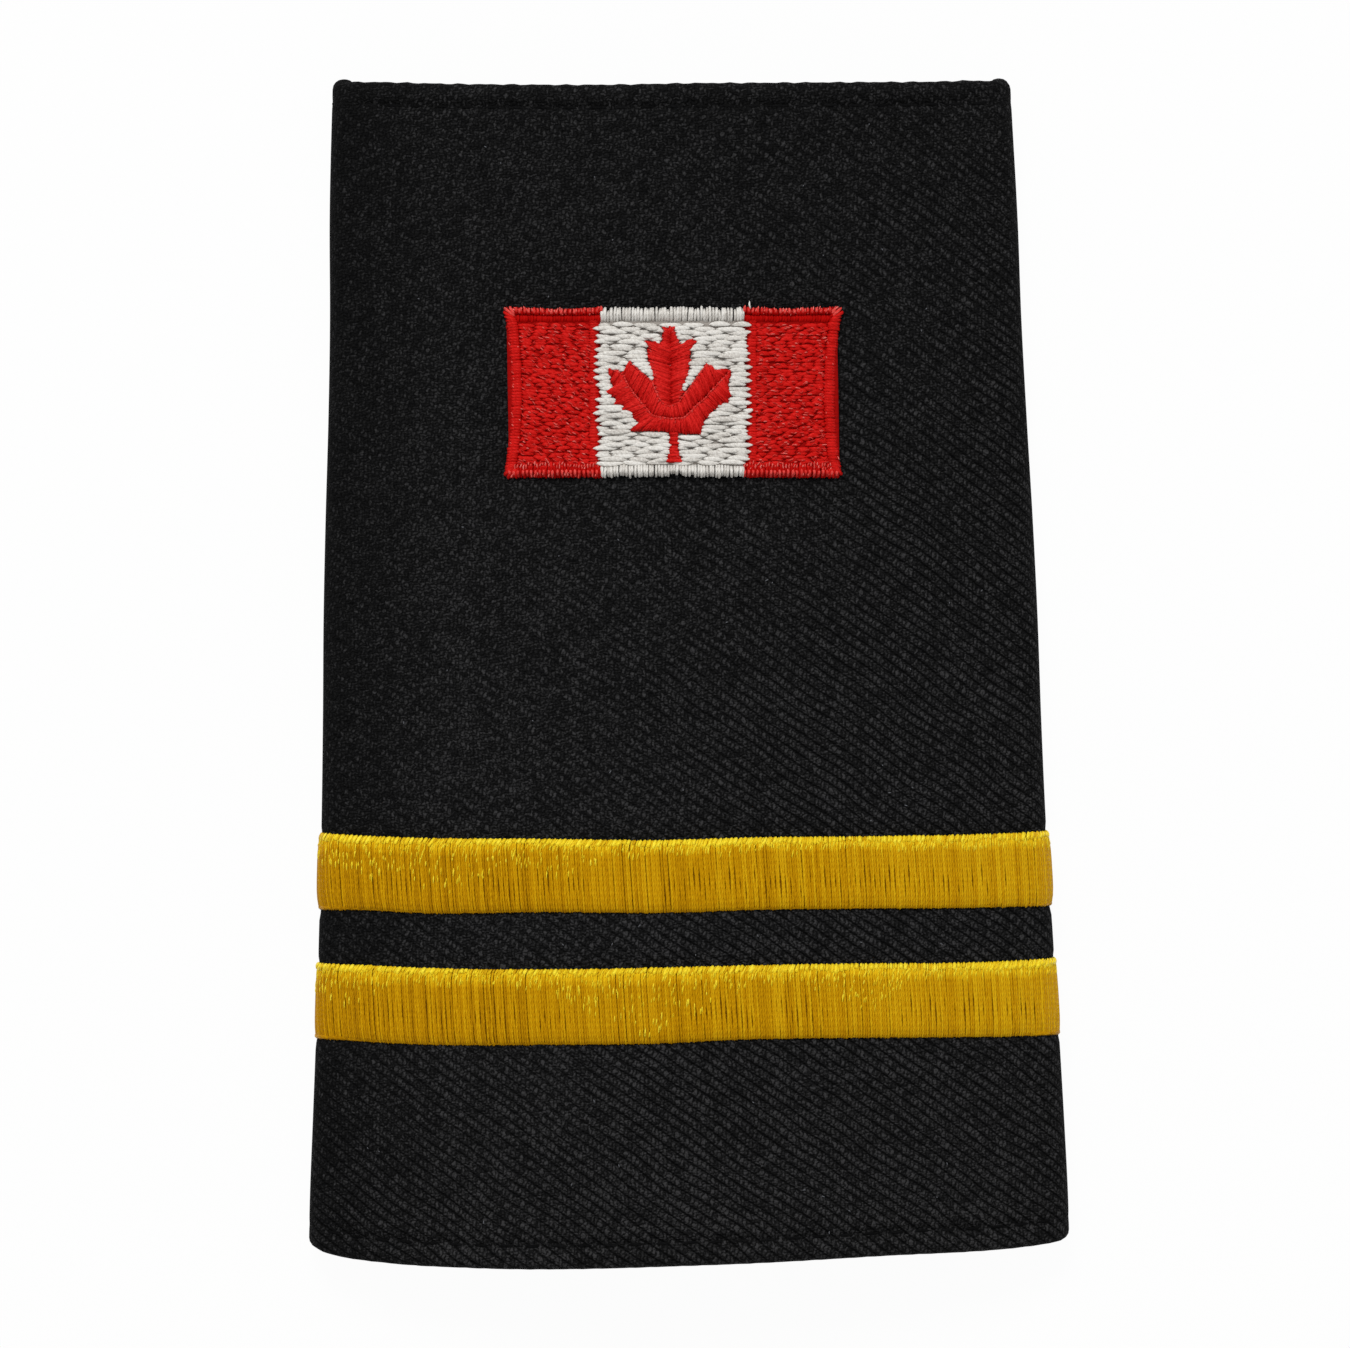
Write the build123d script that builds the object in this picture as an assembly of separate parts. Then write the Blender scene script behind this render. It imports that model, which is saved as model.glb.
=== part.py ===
from build123d import *
import math
import os

# A rank slide: a flat, tapered tube of twill that slips over a shoulder strap.
# It lies on its back. X runs across it, Y towards its narrow end, and Z up, out of its front.
# All lengths are in millimetres.

# Cloth sleeve
LENGTH = 100.0  # from the corners of the narrow end to the lowest point of the wide end
WIDE_END = 64.2  # width over the two folds
NARROW_END = 57.4
WALL = 1.0  # the twill with the backing fused to it
HEM_PLY = 0.9  # the cloth turned in at each end, which has no backing
HEM_DEPTH = 6.0
HEM_SLACK = 0.4  # radius left inside a side fold, within the turned-in hem
ROOM = 6.4  # clear height inside the wide end, in its middle
LEAN = 1.5  # how far the narrow end lies to the left of the wide one
PRESSED = 0.05  # how far the back is flattened where it rests
NARROW_DIP = 1.05  # how far the narrow end's rim dips in its middle
WIDE_DROP = 1.9  # how far the wide end's rim drops below its right-hand corner
SEAM_WIDTH = 0.9  # the groove where the cloth's two edges meet, down the back
SEAM_DEPTH = 0.45

# Embroidery
SEWN_GAP = 0.05  # between a piece of embroidery and what it is sewn on
AREA_GAP = 0.1  # between one embroidered area and the next
BAR_WIDTH = 6.0
BAR_THICK = 0.45
BAR_WRAP = 6.0  # how far a bar runs on past each fold, onto the back
BAR_BOW = 0.12  # how far a bar sags in its middle
BAR_SLANT = 0.55  # how much lower a bar's left end lies than its right end
UPPER_BAR = 33.0  # from the wide end to the middle of the bar
LOWER_BAR = 22.3

FLAG_WIDTH = 28.4
FLAG_HEIGHT = 14.3
FLAG_FROM_END = 26.8  # from the narrow end to the middle of the flag
FLAG_ASIDE = -0.27  # from the sleeve's middle line to the flag's
FLAG_WAIST = 0.45  # how far each side is pulled in at half its height
MIDDLE_FIELD = 12.0  # width of the white field
FIELD_THICK = 0.45
FRAME_THICK = 0.7
FRAME_TOP = 1.4
FRAME_BOTTOM = 1.2
FRAME_OUTER = 0.95
FRAME_INNER = 0.7  # beside the white field
LEAF_WIDTH = 10.5
LEAF_HEIGHT = 11.1
LEAF_THICK = 0.45
LEAF_ASIDE = -0.3  # from the flag's middle line to the leaf's
LEAF_DROP = 0.15  # from the flag's middle down to the leaf's

# The sleeve's cross-sections, from beyond the narrow end to beyond the wide end. along is a share of
# LENGTH. taper is the share of the way from NARROW_END to WIDE_END. room is a share of ROOM, lean of
# LEAN, and lift, which carries the back over the bars' ends, of a bar's height above the cloth.
SECTIONS = [
    dict(along=-0.03, taper=-0.03, room=0.84, lean=1.02, lift=0.0),
    dict(along=0.00, taper=0.00, room=0.84, lean=1.00, lift=0.0),
    dict(along=0.30, taper=0.26, room=0.82, lean=0.64, lift=0.0),
    dict(along=0.61, taper=0.56, room=0.85, lean=0.33, lift=1.0),
    dict(along=0.83, taper=0.84, room=0.92, lean=0.07, lift=1.0),
    dict(along=1.00, taper=1.00, room=1.00, lean=0.00, lift=0.0),
    dict(along=1.03, taper=1.03, room=1.01, lean=0.00, lift=0.0),
]

# The wide end's rim seen from the front. across is a share of WIDE_END from the middle line, and
# rise is a share of WIDE_DROP above the rim's lowest point.
WIDE_RIM = [
    dict(across=-0.55, rise=1.40),
    dict(across=-0.47, rise=0.42),
    dict(across=-0.40, rise=0.11),
    dict(across=-0.28, rise=0.00),
    dict(across=0.00, rise=0.20),
    dict(across=0.25, rise=0.55),
    dict(across=0.46, rise=0.82),
    dict(across=0.55, rise=1.20),
]

# Half of the leaf's outline, from its tip down to its foot. across is a share of half the leaf's
# width, and up is a share of its height.
LEAF_HALF = [
    dict(across=0.08, up=1.00),
    dict(across=0.13, up=0.94),
    dict(across=0.20, up=0.86),
    dict(across=0.41, up=0.90),
    dict(across=0.36, up=0.77),
    dict(across=0.24, up=0.56),
    dict(across=0.62, up=0.735),
    dict(across=0.69, up=0.67),
    dict(across=0.93, up=0.685),
    dict(across=0.93, up=0.58),
    dict(across=1.00, up=0.50),
    dict(across=0.89, up=0.43),
    dict(across=0.52, up=0.285),
    dict(across=0.56, up=0.21),
    dict(across=0.07, up=0.225),
    dict(across=0.07, up=0.06),
    dict(across=0.13, up=0.00),
]

# Worked out from the sizes above
RIM = WALL + HEM_PLY
RIM_ROUND = 0.45 * RIM
FOLD_RADIUS = HEM_SLACK + RIM
BAR_STANDS = SEWN_GAP + BAR_THICK
NARROW_Y = LENGTH / 2
WIDE_Y = -LENGTH / 2
BESIDE = 0.6 * WIDE_END  # a distance from the middle line that lies outside both folds
ABOVE = 2 * (ROOM + 2 * RIM)  # a height that lies above the whole slide
FLAG_Y = NARROW_Y - FLAG_FROM_END


def between(first, last, share):
    return first + (last - first) * share


def section(row, grow):
    """The slide's outline across its length, as a face: a flat back, two folds and an arched front.
    grow moves the whole outline outwards."""
    width = between(NARROW_END, WIDE_END, row["taper"])
    height = 2 * RIM + ROOM * row["room"]
    fold_x = width / 2 - FOLD_RADIUS
    arch = (fold_x**2 + height**2 - 2 * height * FOLD_RADIUS) / (2 * (height - 2 * FOLD_RADIUS))
    arch_z = height - arch
    turn = math.atan2(FOLD_RADIUS - arch_z, fold_x)
    half_turn = (turn - math.pi / 2) / 2

    def on_fold(angle, side):
        reach = FOLD_RADIUS + grow
        return (side * (fold_x + reach * math.cos(angle)), FOLD_RADIUS + reach * math.sin(angle))

    back = [(-fold_x, -grow), (fold_x, -grow)]
    outline = [
        Line(*back),
        ThreePointArc(back[1], on_fold(half_turn, 1), on_fold(turn, 1)),
        ThreePointArc(on_fold(turn, 1), (0, height + grow), on_fold(turn, -1)),
        ThreePointArc(on_fold(turn, -1), on_fold(half_turn, -1), back[0]),
    ]
    place = Plane(origin=section_origin(row), x_dir=(1, 0, 0), z_dir=(0, -1, 0))
    return place * make_face(outline)


def section_origin(row):
    return (-LEAN * row["lean"], NARROW_Y - LENGTH * row["along"], BAR_STANDS * row["lift"] - PRESSED)


def body(grow=0.0):
    """The whole slide as one solid, with its outline moved outwards by grow."""
    return loft([section(row, grow) for row in SECTIONS])


def narrow_rim(inset):
    """The narrow end's rim seen from the front, moved inwards by inset. It runs from left to right."""
    middle = NARROW_Y - NARROW_DIP - inset
    half = NARROW_END / 2
    radius = (half**2 + NARROW_DIP**2) / (2 * NARROW_DIP)
    edge = middle + radius - math.sqrt(radius**2 - BESIDE**2)
    shift = -LEAN
    return ThreePointArc((shift - BESIDE, edge), (shift, middle), (shift + BESIDE, edge))


def wide_rim(inset):
    """The wide end's rim seen from the front, moved inwards by inset. It runs from left to right."""
    points = [(WIDE_END * p["across"], WIDE_Y + WIDE_DROP * p["rise"] + inset) for p in WIDE_RIM]
    return Spline(*points)


def between_rims(inset):
    """A tall block whose ends are the two rims, moved inwards by inset."""
    far, near = narrow_rim(inset), wide_rim(inset)
    sides = [Line(near @ 1, far @ 1), Line(far @ 0, near @ 0)]
    return tall(make_face([near, sides[0], far, sides[1]]))


def tall(face):
    """A flat face in plan, made a block that is taller than the slide."""
    return extrude(Pos(0, 0, -ABOVE) * face, amount=2 * ABOVE, dir=(0, 0, 1))


def cavity():
    """The space inside the sleeve, which is narrower within the two hems."""
    inside_wall = body(-WALL) & between_rims(HEM_DEPTH)
    return body(-RIM) + inside_wall


def seam():
    """The groove down the middle of the back, where the cloth's edges turn in and meet."""
    rows = []
    for row in SECTIONS:
        place = Plane(origin=section_origin(row), x_dir=(1, 0, 0), z_dir=(0, -1, 0))
        notch = Polyline(
            (-SEAM_WIDTH, -SEAM_DEPTH), (SEAM_WIDTH, -SEAM_DEPTH), (0, SEAM_DEPTH), close=True
        )
        rows.append(place * make_face(notch))
    return loft(rows)


def flattened(shape):
    """Cuts off what would lie below the surface that the slide rests on."""
    under = Pos(0, 0, -ABOVE / 2) * Box(2 * WIDE_END, 2 * LENGTH, ABOVE)
    return shape - under


def sleeve():
    """The twill tube, with both ends hemmed and rounded."""
    tube = (body() - cavity()) & between_rims(0)
    rims = [
        edge
        for edge in tube.edges()
        if min(edge_gap(edge, narrow_rim(0)), edge_gap(edge, wide_rim(0))) < 0.01
    ]
    tube = fillet(rims, RIM_ROUND)
    return flattened(tube - seam())


def edge_gap(edge, rim):
    """How far an edge's middle lies from a rim, seen from the front."""
    middle = edge @ 0.5
    seen = Vertex(middle.X, middle.Y, 0)
    return seen.distance_to(rim)


def sewn(face, low, high):
    """Embroidery that covers a face in plan, from low to high above the cloth."""
    return (tall(face) & body(high)) - body(low)


def on_front(shape):
    """Keeps only what lies on the slide's front."""
    front = Pos(0, 0, FOLD_RADIUS + ABOVE / 2) * Box(2 * WIDE_END, 2 * LENGTH, ABOVE)
    return shape & front


def bar(from_end):
    """A satin-stitched bar across the front, round both folds and onto the back."""
    middle = WIDE_Y + from_end

    def edge(offset):
        left = (-BESIDE, middle + offset - BAR_SLANT / 2)
        lowest = (0, middle + offset - BAR_BOW)
        right = (BESIDE, middle + offset + BAR_SLANT / 2)
        return ThreePointArc(left, lowest, right)

    top, bottom = edge(BAR_WIDTH / 2), edge(-BAR_WIDTH / 2)
    sides = [Line(bottom @ 1, top @ 1), Line(top @ 0, bottom @ 0)]
    whole = sewn(make_face([bottom, sides[0], top, sides[1]]), SEWN_GAP, BAR_STANDS)

    share = (NARROW_Y - middle) / LENGTH
    width = between(NARROW_END, WIDE_END, share)
    bare_back = Pos(-LEAN * (1 - share), middle, 0) * Box(
        width - 2 * BAR_WRAP, 3 * BAR_WIDTH, 2 * FOLD_RADIUS
    )
    return flattened(whole - bare_back)


def flag_x(along_front):
    """The flag's middle line, moved to the right by along_front."""
    return -LEAN * (1 - FLAG_FROM_END / LENGTH) + FLAG_ASIDE + along_front


def waist(height):
    """How far a side of that height is pulled in at its middle."""
    return FLAG_WAIST * (height / FLAG_HEIGHT) ** 2


def panel(left, right, bottom, top, pulled=0):
    """A four-sided area of the flag in plan, measured from the flag's middle. pulled is -1 if its
    left side is pulled in, 1 if its right side is, and 0 if both are straight."""
    pull = waist(top - bottom)
    corners = [(left, bottom), (right, bottom), (right, top), (left, top)]
    a, b, c, d = [(flag_x(x), FLAG_Y + y) for x, y in corners]
    middle = FLAG_Y + (top + bottom) / 2
    if pulled > 0:
        right_side = ThreePointArc(b, (b[0] - pull, middle), c)
    else:
        right_side = Line(b, c)
    if pulled < 0:
        left_side = ThreePointArc(d, (d[0] + pull, middle), a)
    else:
        left_side = Line(d, a)
    return make_face([Line(a, b), right_side, Line(c, d), left_side])


def red_areas(side):
    """The outer frame and the field of one red third, in plan. side is -1 on the left, 1 on the right."""
    top, bottom = FLAG_HEIGHT / 2, -FLAG_HEIGHT / 2
    outer = side * FLAG_WIDTH / 2
    inner = side * (MIDDLE_FIELD + AREA_GAP) / 2
    field_top, field_bottom = top - FRAME_TOP, bottom + FRAME_BOTTOM
    field_outer, field_inner = outer - side * FRAME_OUTER, inner + side * FRAME_INNER
    step = side * AREA_GAP
    frame = panel(*sorted((outer, inner)), bottom, top, side) - panel(
        *sorted((field_outer, field_inner)), field_bottom, field_top, side
    )
    field = panel(
        *sorted((field_outer - step, field_inner + step)),
        field_bottom + AREA_GAP,
        field_top - AREA_GAP,
        side,
    )
    return frame, field


def leaf_outline():
    """The leaf in plan: the half outline and its mirror image."""
    foot = FLAG_Y - LEAF_DROP - LEAF_HEIGHT / 2
    middle = flag_x(LEAF_ASIDE)
    right = [(middle + LEAF_WIDTH / 2 * p["across"], foot + LEAF_HEIGHT * p["up"]) for p in LEAF_HALF]
    left = [(2 * middle - x, y) for x, y in reversed(right)]
    return make_face(Polyline(*right, *left, close=True))


def flag_parts():
    """The flag's areas, each a thin solid that follows the arched front."""
    top, bottom = FLAG_HEIGHT / 2, -FLAG_HEIGHT / 2
    half = (MIDDLE_FIELD - AREA_GAP) / 2
    frame_left, field_left = red_areas(-1)
    frame_right, field_right = red_areas(1)
    edge_top = panel(-half, half, top - FRAME_TOP, top)
    edge_bottom = panel(-half, half, bottom, bottom + FRAME_BOTTOM)
    field_middle = panel(-half, half, bottom + FRAME_BOTTOM + AREA_GAP, top - FRAME_TOP - AREA_GAP)
    field_high, frame_high = SEWN_GAP + FIELD_THICK, SEWN_GAP + FRAME_THICK
    leaf_low = field_high + SEWN_GAP
    areas = {
        "flag_frame_left": (frame_left, SEWN_GAP, frame_high),
        "flag_frame_right": (frame_right, SEWN_GAP, frame_high),
        "flag_edge_top": (edge_top, SEWN_GAP, frame_high),
        "flag_edge_bottom": (edge_bottom, SEWN_GAP, frame_high),
        "flag_field_left": (field_left, SEWN_GAP, field_high),
        "flag_field_right": (field_right, SEWN_GAP, field_high),
        "flag_field_middle": (field_middle, SEWN_GAP, field_high),
        "flag_leaf": (leaf_outline(), leaf_low, leaf_low + LEAF_THICK),
    }
    return {name: on_front(sewn(*area)) for name, area in areas.items()}


def origin_under_middle(parts):
    """Moves all the parts so that the origin lies under the middle of the slide's box."""
    boxes = [shape.bounding_box() for shape in parts.values()]
    left, right = min(box.min.X for box in boxes), max(box.max.X for box in boxes)
    near, far = min(box.min.Y for box in boxes), max(box.max.Y for box in boxes)
    lowest = min(box.min.Z for box in boxes)
    shift = Pos(-(left + right) / 2, -(near + far) / 2, -lowest)
    return {name: shift * shape for name, shape in parts.items()}


parts = {
    "sleeve": sleeve(),
    "bar_upper": bar(UPPER_BAR),
    "bar_lower": bar(LOWER_BAR),
    **flag_parts(),
}
os.makedirs("parts", exist_ok=True)
for name, shape in origin_under_middle(parts).items():
    export_step(shape, f"parts/{name}.step")
    size = shape.bounding_box().size
    print(f"{name}: {shape.volume:.1f} mm3, {size.X:.2f} x {size.Y:.2f} x {size.Z:.2f} mm")
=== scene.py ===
# %% [markdown]
# # A rank slide in cloth and thread
# A rank slide is a flat tube of black twill that slips over the strap on a uniform's shoulder. Gold
# bars and a small flag are embroidered on its front. This lesson makes its looks round a fixed solid
# model: first the cloth, folded from a flat sheet as a tailor does it, and then every stitch.
# Blender works in metres. The lengths here are written in millimetres and turned into metres where a
# mesh gets its points.

# %% Load the fixed model
import math
from functools import partial, reduce
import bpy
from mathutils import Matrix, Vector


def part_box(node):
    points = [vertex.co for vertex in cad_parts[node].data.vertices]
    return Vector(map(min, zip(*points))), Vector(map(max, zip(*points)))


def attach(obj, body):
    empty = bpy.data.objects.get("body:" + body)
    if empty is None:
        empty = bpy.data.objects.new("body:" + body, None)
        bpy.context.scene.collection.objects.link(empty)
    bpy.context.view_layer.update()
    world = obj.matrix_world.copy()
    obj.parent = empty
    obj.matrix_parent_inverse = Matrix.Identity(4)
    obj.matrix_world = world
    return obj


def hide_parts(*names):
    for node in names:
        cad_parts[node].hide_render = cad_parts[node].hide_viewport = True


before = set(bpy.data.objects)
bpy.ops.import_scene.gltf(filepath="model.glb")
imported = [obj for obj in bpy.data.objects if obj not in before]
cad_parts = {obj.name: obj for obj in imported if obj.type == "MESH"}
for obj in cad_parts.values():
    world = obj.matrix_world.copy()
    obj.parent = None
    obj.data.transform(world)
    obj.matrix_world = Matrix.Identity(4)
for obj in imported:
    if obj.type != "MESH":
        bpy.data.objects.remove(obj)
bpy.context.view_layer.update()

from types import SimpleNamespace

import bmesh
import bpy
import numpy as np
from mathutils import Vector

MM = 0.001


def box_mm(node):
    """A node's lowest and highest corners in millimetres."""
    low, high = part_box(node)
    return np.array(low) / MM, np.array(high) / MM


# %% [markdown]
# ## The shape that the cloth takes
# Cut across, the slide is a flat back, two tight folds and a low arch. The cuts change from end to
# end, so the sizes at a few stations are listed as shares, and a smooth curve runs through them. One
# function then answers the question that everything else asks: where is the point that lies so far
# round the slide, at this height along it, and so far off the cloth's face?

# %% Sizes of the cloth, in millimetres
LENGTH = 100.0
WIDE_END = 64.2
NARROW_END = 57.4
ROOM = 6.4  # clear height inside the wide end
LEAN = 1.5  # how far the narrow end's middle lies to the left
PRESSED = 0.05  # how far the back gives on the surface below
BAR_STANDS = 0.5  # how far the bars' ends lift the back
TWO_PLIES = 1.9  # a turned-in hem, from its outer to its inner face
FOLD_RADIUS = 2.3
MIDDLE_X = 0.05
WIDE_DROP = 1.9  # what the wide rim's rises are shares of

# Each table's first column lists places, as shares of the length from the narrow end, of the narrow
# end's half width or of the wide end's width. The other columns say what holds there.
STATIONS = dict(
    along=[-0.03, 0.00, 0.30, 0.61, 0.83, 1.00, 1.03],
    room=[0.84, 0.84, 0.82, 0.85, 0.92, 1.00, 1.01],
    lean=[1.02, 1.00, 0.64, 0.33, 0.07, 0.00, 0.00],
    lift=[0.0, 0.0, 0.0, 1.0, 1.0, 0.0, 0.0],
)
TAPER = dict(
    along=[-0.03, 0.00, 0.12, 0.205, 0.29, 0.37, 0.455, 0.54, 0.62, 0.72, 0.82, 0.88, 0.95, 1.03],
    share=[-0.03, 0.00, 0.135, 0.178, 0.266, 0.368, 0.453,
           0.503, 0.568, 0.69, 0.827, 0.915, 1.01, 1.05],
)
NARROW_RIM = dict(
    across=[-1.10, -0.99, -0.968, -0.94, -0.90, -0.82, -0.75, -0.44, -0.16,
            0.08, 0.29, 0.54, 0.78, 0.92, 0.945, 0.96, 0.985, 1.10],
    drop=[-0.10, 0.02, 0.28, 0.29, 0.33, 0.44, 0.56, 0.88, 0.97,
          0.84, 0.78, 0.63, 0.41, 0.20, 0.21, 0.20, 0.00, -0.12],
)
WIDE_RIM = dict(
    across=[-0.55, -0.47, -0.40, -0.28, 0.00, 0.25, 0.46, 0.55],
    rise=[1.10, 0.29, 0.04, -0.08, 0.13, 0.47, 0.75, 1.14],
)

# The slack cloth's swells: each is the product of two waves, given by their turn a millimetre round
# the slide, their turn a millimetre along it, and their start.
SWELLS = dict(
    high=[0.10, 0.06],
    first=[(0.21, 0.13, 0.6), (0.37, -0.22, 2.0)],
    second=[(-0.11, 0.09, 1.1), (0.17, 0.27, 0.0)],
)
SWELL_FADE = 2.2


# %% A smooth curve through listed values
def smooth(table, column, place):
    """Reads a smooth curve through a column of a table, at places among those in its first column."""
    stations, values = np.array(next(iter(table.values())), float), np.array(table[column], float)
    place = np.asarray(place, float)
    slopes = np.gradient(values, stations)
    k = np.clip(np.searchsorted(stations, place) - 1, 0, len(stations) - 2)
    step = stations[k + 1] - stations[k]
    t = np.clip((place - stations[k]) / step, 0, 1)
    start = values[k] * (1 + 2 * t) * (1 - t) ** 2 + slopes[k] * step * t * (1 - t) ** 2
    end = values[k + 1] * t**2 * (3 - 2 * t) + slopes[k + 1] * step * t**2 * (t - 1)
    return start + end


# %% The cut across the slide at any place along it
def section(y):
    """The cut's sizes: half of the flat back, the arch's radius and centre height, the angle at which
    a fold meets the arch, the middle line's x, and how far the back is off the surface below."""
    along = 0.5 - np.asarray(y, float) / LENGTH
    width = NARROW_END + (WIDE_END - NARROW_END) * smooth(TAPER, "share", along)
    height = 2 * TWO_PLIES + ROOM * smooth(STATIONS, "room", along)
    half = width / 2 - FOLD_RADIUS
    arch = (half**2 + height**2 - 2 * height * FOLD_RADIUS) / (2 * (height - 2 * FOLD_RADIUS))
    arch_z = height - arch
    turn = np.arctan2(FOLD_RADIUS - arch_z, half)
    middle = MIDDLE_X - LEAN * smooth(STATIONS, "lean", along)
    off = BAR_STANDS * np.maximum(smooth(STATIONS, "lift", along), 0) - PRESSED
    return SimpleNamespace(half=half, arch=arch, arch_z=arch_z, turn=turn, middle=middle, off=off)


def reaches(y):
    """How far round the cloth the arch, a fold and the flat back end, from the front's middle."""
    cut = section(y)
    arch_end = cut.arch * (np.pi / 2 - cut.turn)
    fold_end = arch_end + FOLD_RADIUS * (np.pi / 2 + cut.turn)
    return arch_end, fold_end, fold_end + cut.half


def drape(u, y):
    """The slack cloth's low swells, which fade out towards the folds and the back."""
    front = np.clip(1 - np.abs(u) / reaches(y)[0], 0, 1)
    front = front * front * (3 - 2 * front)
    height = 0
    for high, *pair in zip(*SWELLS.values()):
        waves = [np.sin(round_it * u + along * y + start) for round_it, along, start in pair]
        height = height + high * waves[0] * waves[1]
    return height * np.minimum(1, SWELL_FADE * front)


def wrap(u, y, lift=0.0):
    """Where a point of the cloth lies, in millimetres. u is its distance round the slide from the
    front's middle, positive to the right; y is its place along the slide; lift is its height off the
    cloth's face."""
    u, y, lift = np.broadcast_arrays(*(np.asarray(v, float) for v in (u, y, lift)))
    cut = section(y)
    arch_end, fold_end, _ = reaches(y)
    far, side = np.abs(u), np.where(u < 0, -1.0, 1.0)
    lift = lift + drape(u, y)
    arch, fold = cut.arch + lift, FOLD_RADIUS + lift
    over, round_fold = np.pi / 2 - far / cut.arch, cut.turn - (far - arch_end) / FOLD_RADIUS
    parts = [far <= arch_end, far <= fold_end]
    x = np.select(parts, [arch * np.cos(over), cut.half + fold * np.cos(round_fold)],
                  cut.half - (far - fold_end))
    z = np.select(parts, [cut.arch_z + arch * np.sin(over), FOLD_RADIUS + fold * np.sin(round_fold)],
                  -lift)
    return np.stack([cut.middle + side * x, y, np.maximum(z + cut.off, 0)], axis=-1)


def round_to(x, y):
    """The distance round the cloth of a point on the front that is seen at x."""
    cut = section(y)
    return cut.arch * np.arcsin((np.asarray(x, float) - cut.middle) / cut.arch)


# %% The two rims
def narrow_rim(x):
    """The y of the narrow end's rim, as seen from the front."""
    return LENGTH / 2 - smooth(NARROW_RIM, "drop", (x + LEAN - MIDDLE_X) / (NARROW_END / 2))


def wide_rim(x):
    """The y of the wide end's rim, as seen from the front."""
    return -LENGTH / 2 + WIDE_DROP * smooth(WIDE_RIM, "rise", (x - MIDDLE_X) / WIDE_END)


crown = wrap(0, np.array([45.0, 0.0, -45.0]))
print("the front's middle line stands", crown[:, 2].round(2), "mm high at three places")

# %% [markdown]
# ## Materials from arithmetic
# Every finish here is worked out from a piece's own map, whose two numbers are real millimetres on
# the cloth or along the thread. So a weave keeps its scale and runs round a fold as real cloth does.
# The small helpers below add one node each, because a weave is little more than waves and steps.


# %% Helpers for materials
def new_material(name, base, roughness, specular):
    """A material with one Principled shader, and that shader."""
    material = bpy.data.materials.new(name)
    material.use_nodes = True
    shader = material.node_tree.nodes["Principled BSDF"]
    shader.inputs["Base Color"].default_value = (*base, 1)
    shader.inputs["Roughness"].default_value = roughness
    shader.inputs["Specular IOR Level"].default_value = specular
    return material, shader


def feed(socket, value):
    """Links a socket to another node's output, or sets it to a plain number."""
    if isinstance(value, bpy.types.NodeSocket):
        socket.id_data.links.new(value, socket)
    else:
        socket.default_value = value


def node(kind, feeds, **settings):
    """Adds a node beside the ones that feed it. feeds holds a value or socket for each input."""
    tree = next(value.id_data for value in feeds.values() if isinstance(value, bpy.types.NodeSocket))
    added = tree.nodes.new(kind)
    for setting, value in settings.items():
        setattr(added, setting, value)
    for place, value in feeds.items():
        feed(added.inputs[place], value)
    return added


def calc(operation, *values):
    """The result of a Math node that is fed with sockets or plain numbers."""
    return node("ShaderNodeMath", dict(enumerate(values)), operation=operation).outputs[0]


def times(*values):
    """The product of two values, plus the third if there is one."""
    return calc("MULTIPLY_ADD" if len(values) > 2 else "MULTIPLY", *values)


plus, minus, divided = partial(calc, "ADD"), partial(calc, "SUBTRACT"), partial(calc, "DIVIDE")
most, least = partial(calc, "MAXIMUM"), partial(calc, "MINIMUM")
whole, rest, sine = partial(calc, "FLOOR"), partial(calc, "FRACT"), partial(calc, "SINE")


def within(value, low, high):
    """The value, kept within two limits."""
    return least(most(value, low), high)


# %% Maps, noise, colours and bumps
def map_axes(shader, map_name):
    """The two axes of a piece's own map, as sockets."""
    chosen = shader.id_data.nodes.new("ShaderNodeUVMap")
    chosen.uv_map = map_name
    split = node("ShaderNodeSeparateXYZ", {0: chosen.outputs["UV"]})
    return split.outputs["X"], split.outputs["Y"]


def joined(x, y):
    """One vector from two sockets or numbers."""
    return node("ShaderNodeCombineXYZ", {0: x, 1: y}).outputs[0]


def noise(vector, scale, detail=2.0, roughness=0.5):
    """A noise texture on the given vector, as a number round one half."""
    feeds = {"Scale": scale, "Detail": detail, "Roughness": roughness, "Vector": vector}
    return node("ShaderNodeTexNoise", feeds).outputs["Fac"]


def lottery(x, y):
    """A random number from 0 to 1 for each pair of whole numbers."""
    drawn = node("ShaderNodeTexWhiteNoise", {"Vector": joined(x, y)}, noise_dimensions="2D")
    return drawn.outputs["Value"]


def coloured(shader, share, colours):
    """Feeds the shader a colour that runs through the listed stops, from share 0 to 1."""
    ramp = node("ShaderNodeValToRGB", {"Fac": share})
    stops = ramp.color_ramp.elements
    while len(stops) < len(colours):
        stops.new(0.5)
    for stop, (place, colour) in zip(stops, colours):
        stop.position = place
        stop.color = (*colour, 1)
    feed(shader.inputs["Base Color"], ramp.outputs["Color"])


def bumped(shader, height, distance_mm, strength):
    """Feeds a height to the shader's normal."""
    bump = node("ShaderNodeBump", {"Strength": strength, "Distance": distance_mm * MM, "Height": height})
    feed(shader.inputs["Normal"], bump.outputs["Normal"])


# %% [markdown]
# ## Black twill
# In this twill each lengthwise yarn passes over two crosswise yarns and under two, and each next yarn
# does so one step lower. The steps line up into the slanting ribs that give twill its look, and between
# the ribs the crosswise yarns show in their turn. The pattern below is that rule itself: which yarn is
# this, how far along its float is this point, and which yarn is on top here? A photograph of twill
# could not be scaled or lit again.

# %% The weave
YARN_PITCH = 0.333
PICK_PITCH = 0.2315
REPEAT = 4.0
FLOAT_HALF = 1.2
YARN_HALF = 0.62
YARN_LEAN = 0.10
GROOVE_HALF = 0.62
WAVY, SHAKEN = 1.0, 0.54  # how far yarns drift and shake, in millimetres
APART = 90.0  # keeps the two directions' drifts unlike
CLOTH_MAP = "cloth_mm"


def mound(distance, half):
    """1 in the middle of a yarn's float and 0 past its end, from the distance and the half size."""
    share = divided(distance, half)
    return most(times(times(share, share), -1.0, 1.0), 0.0)


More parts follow.
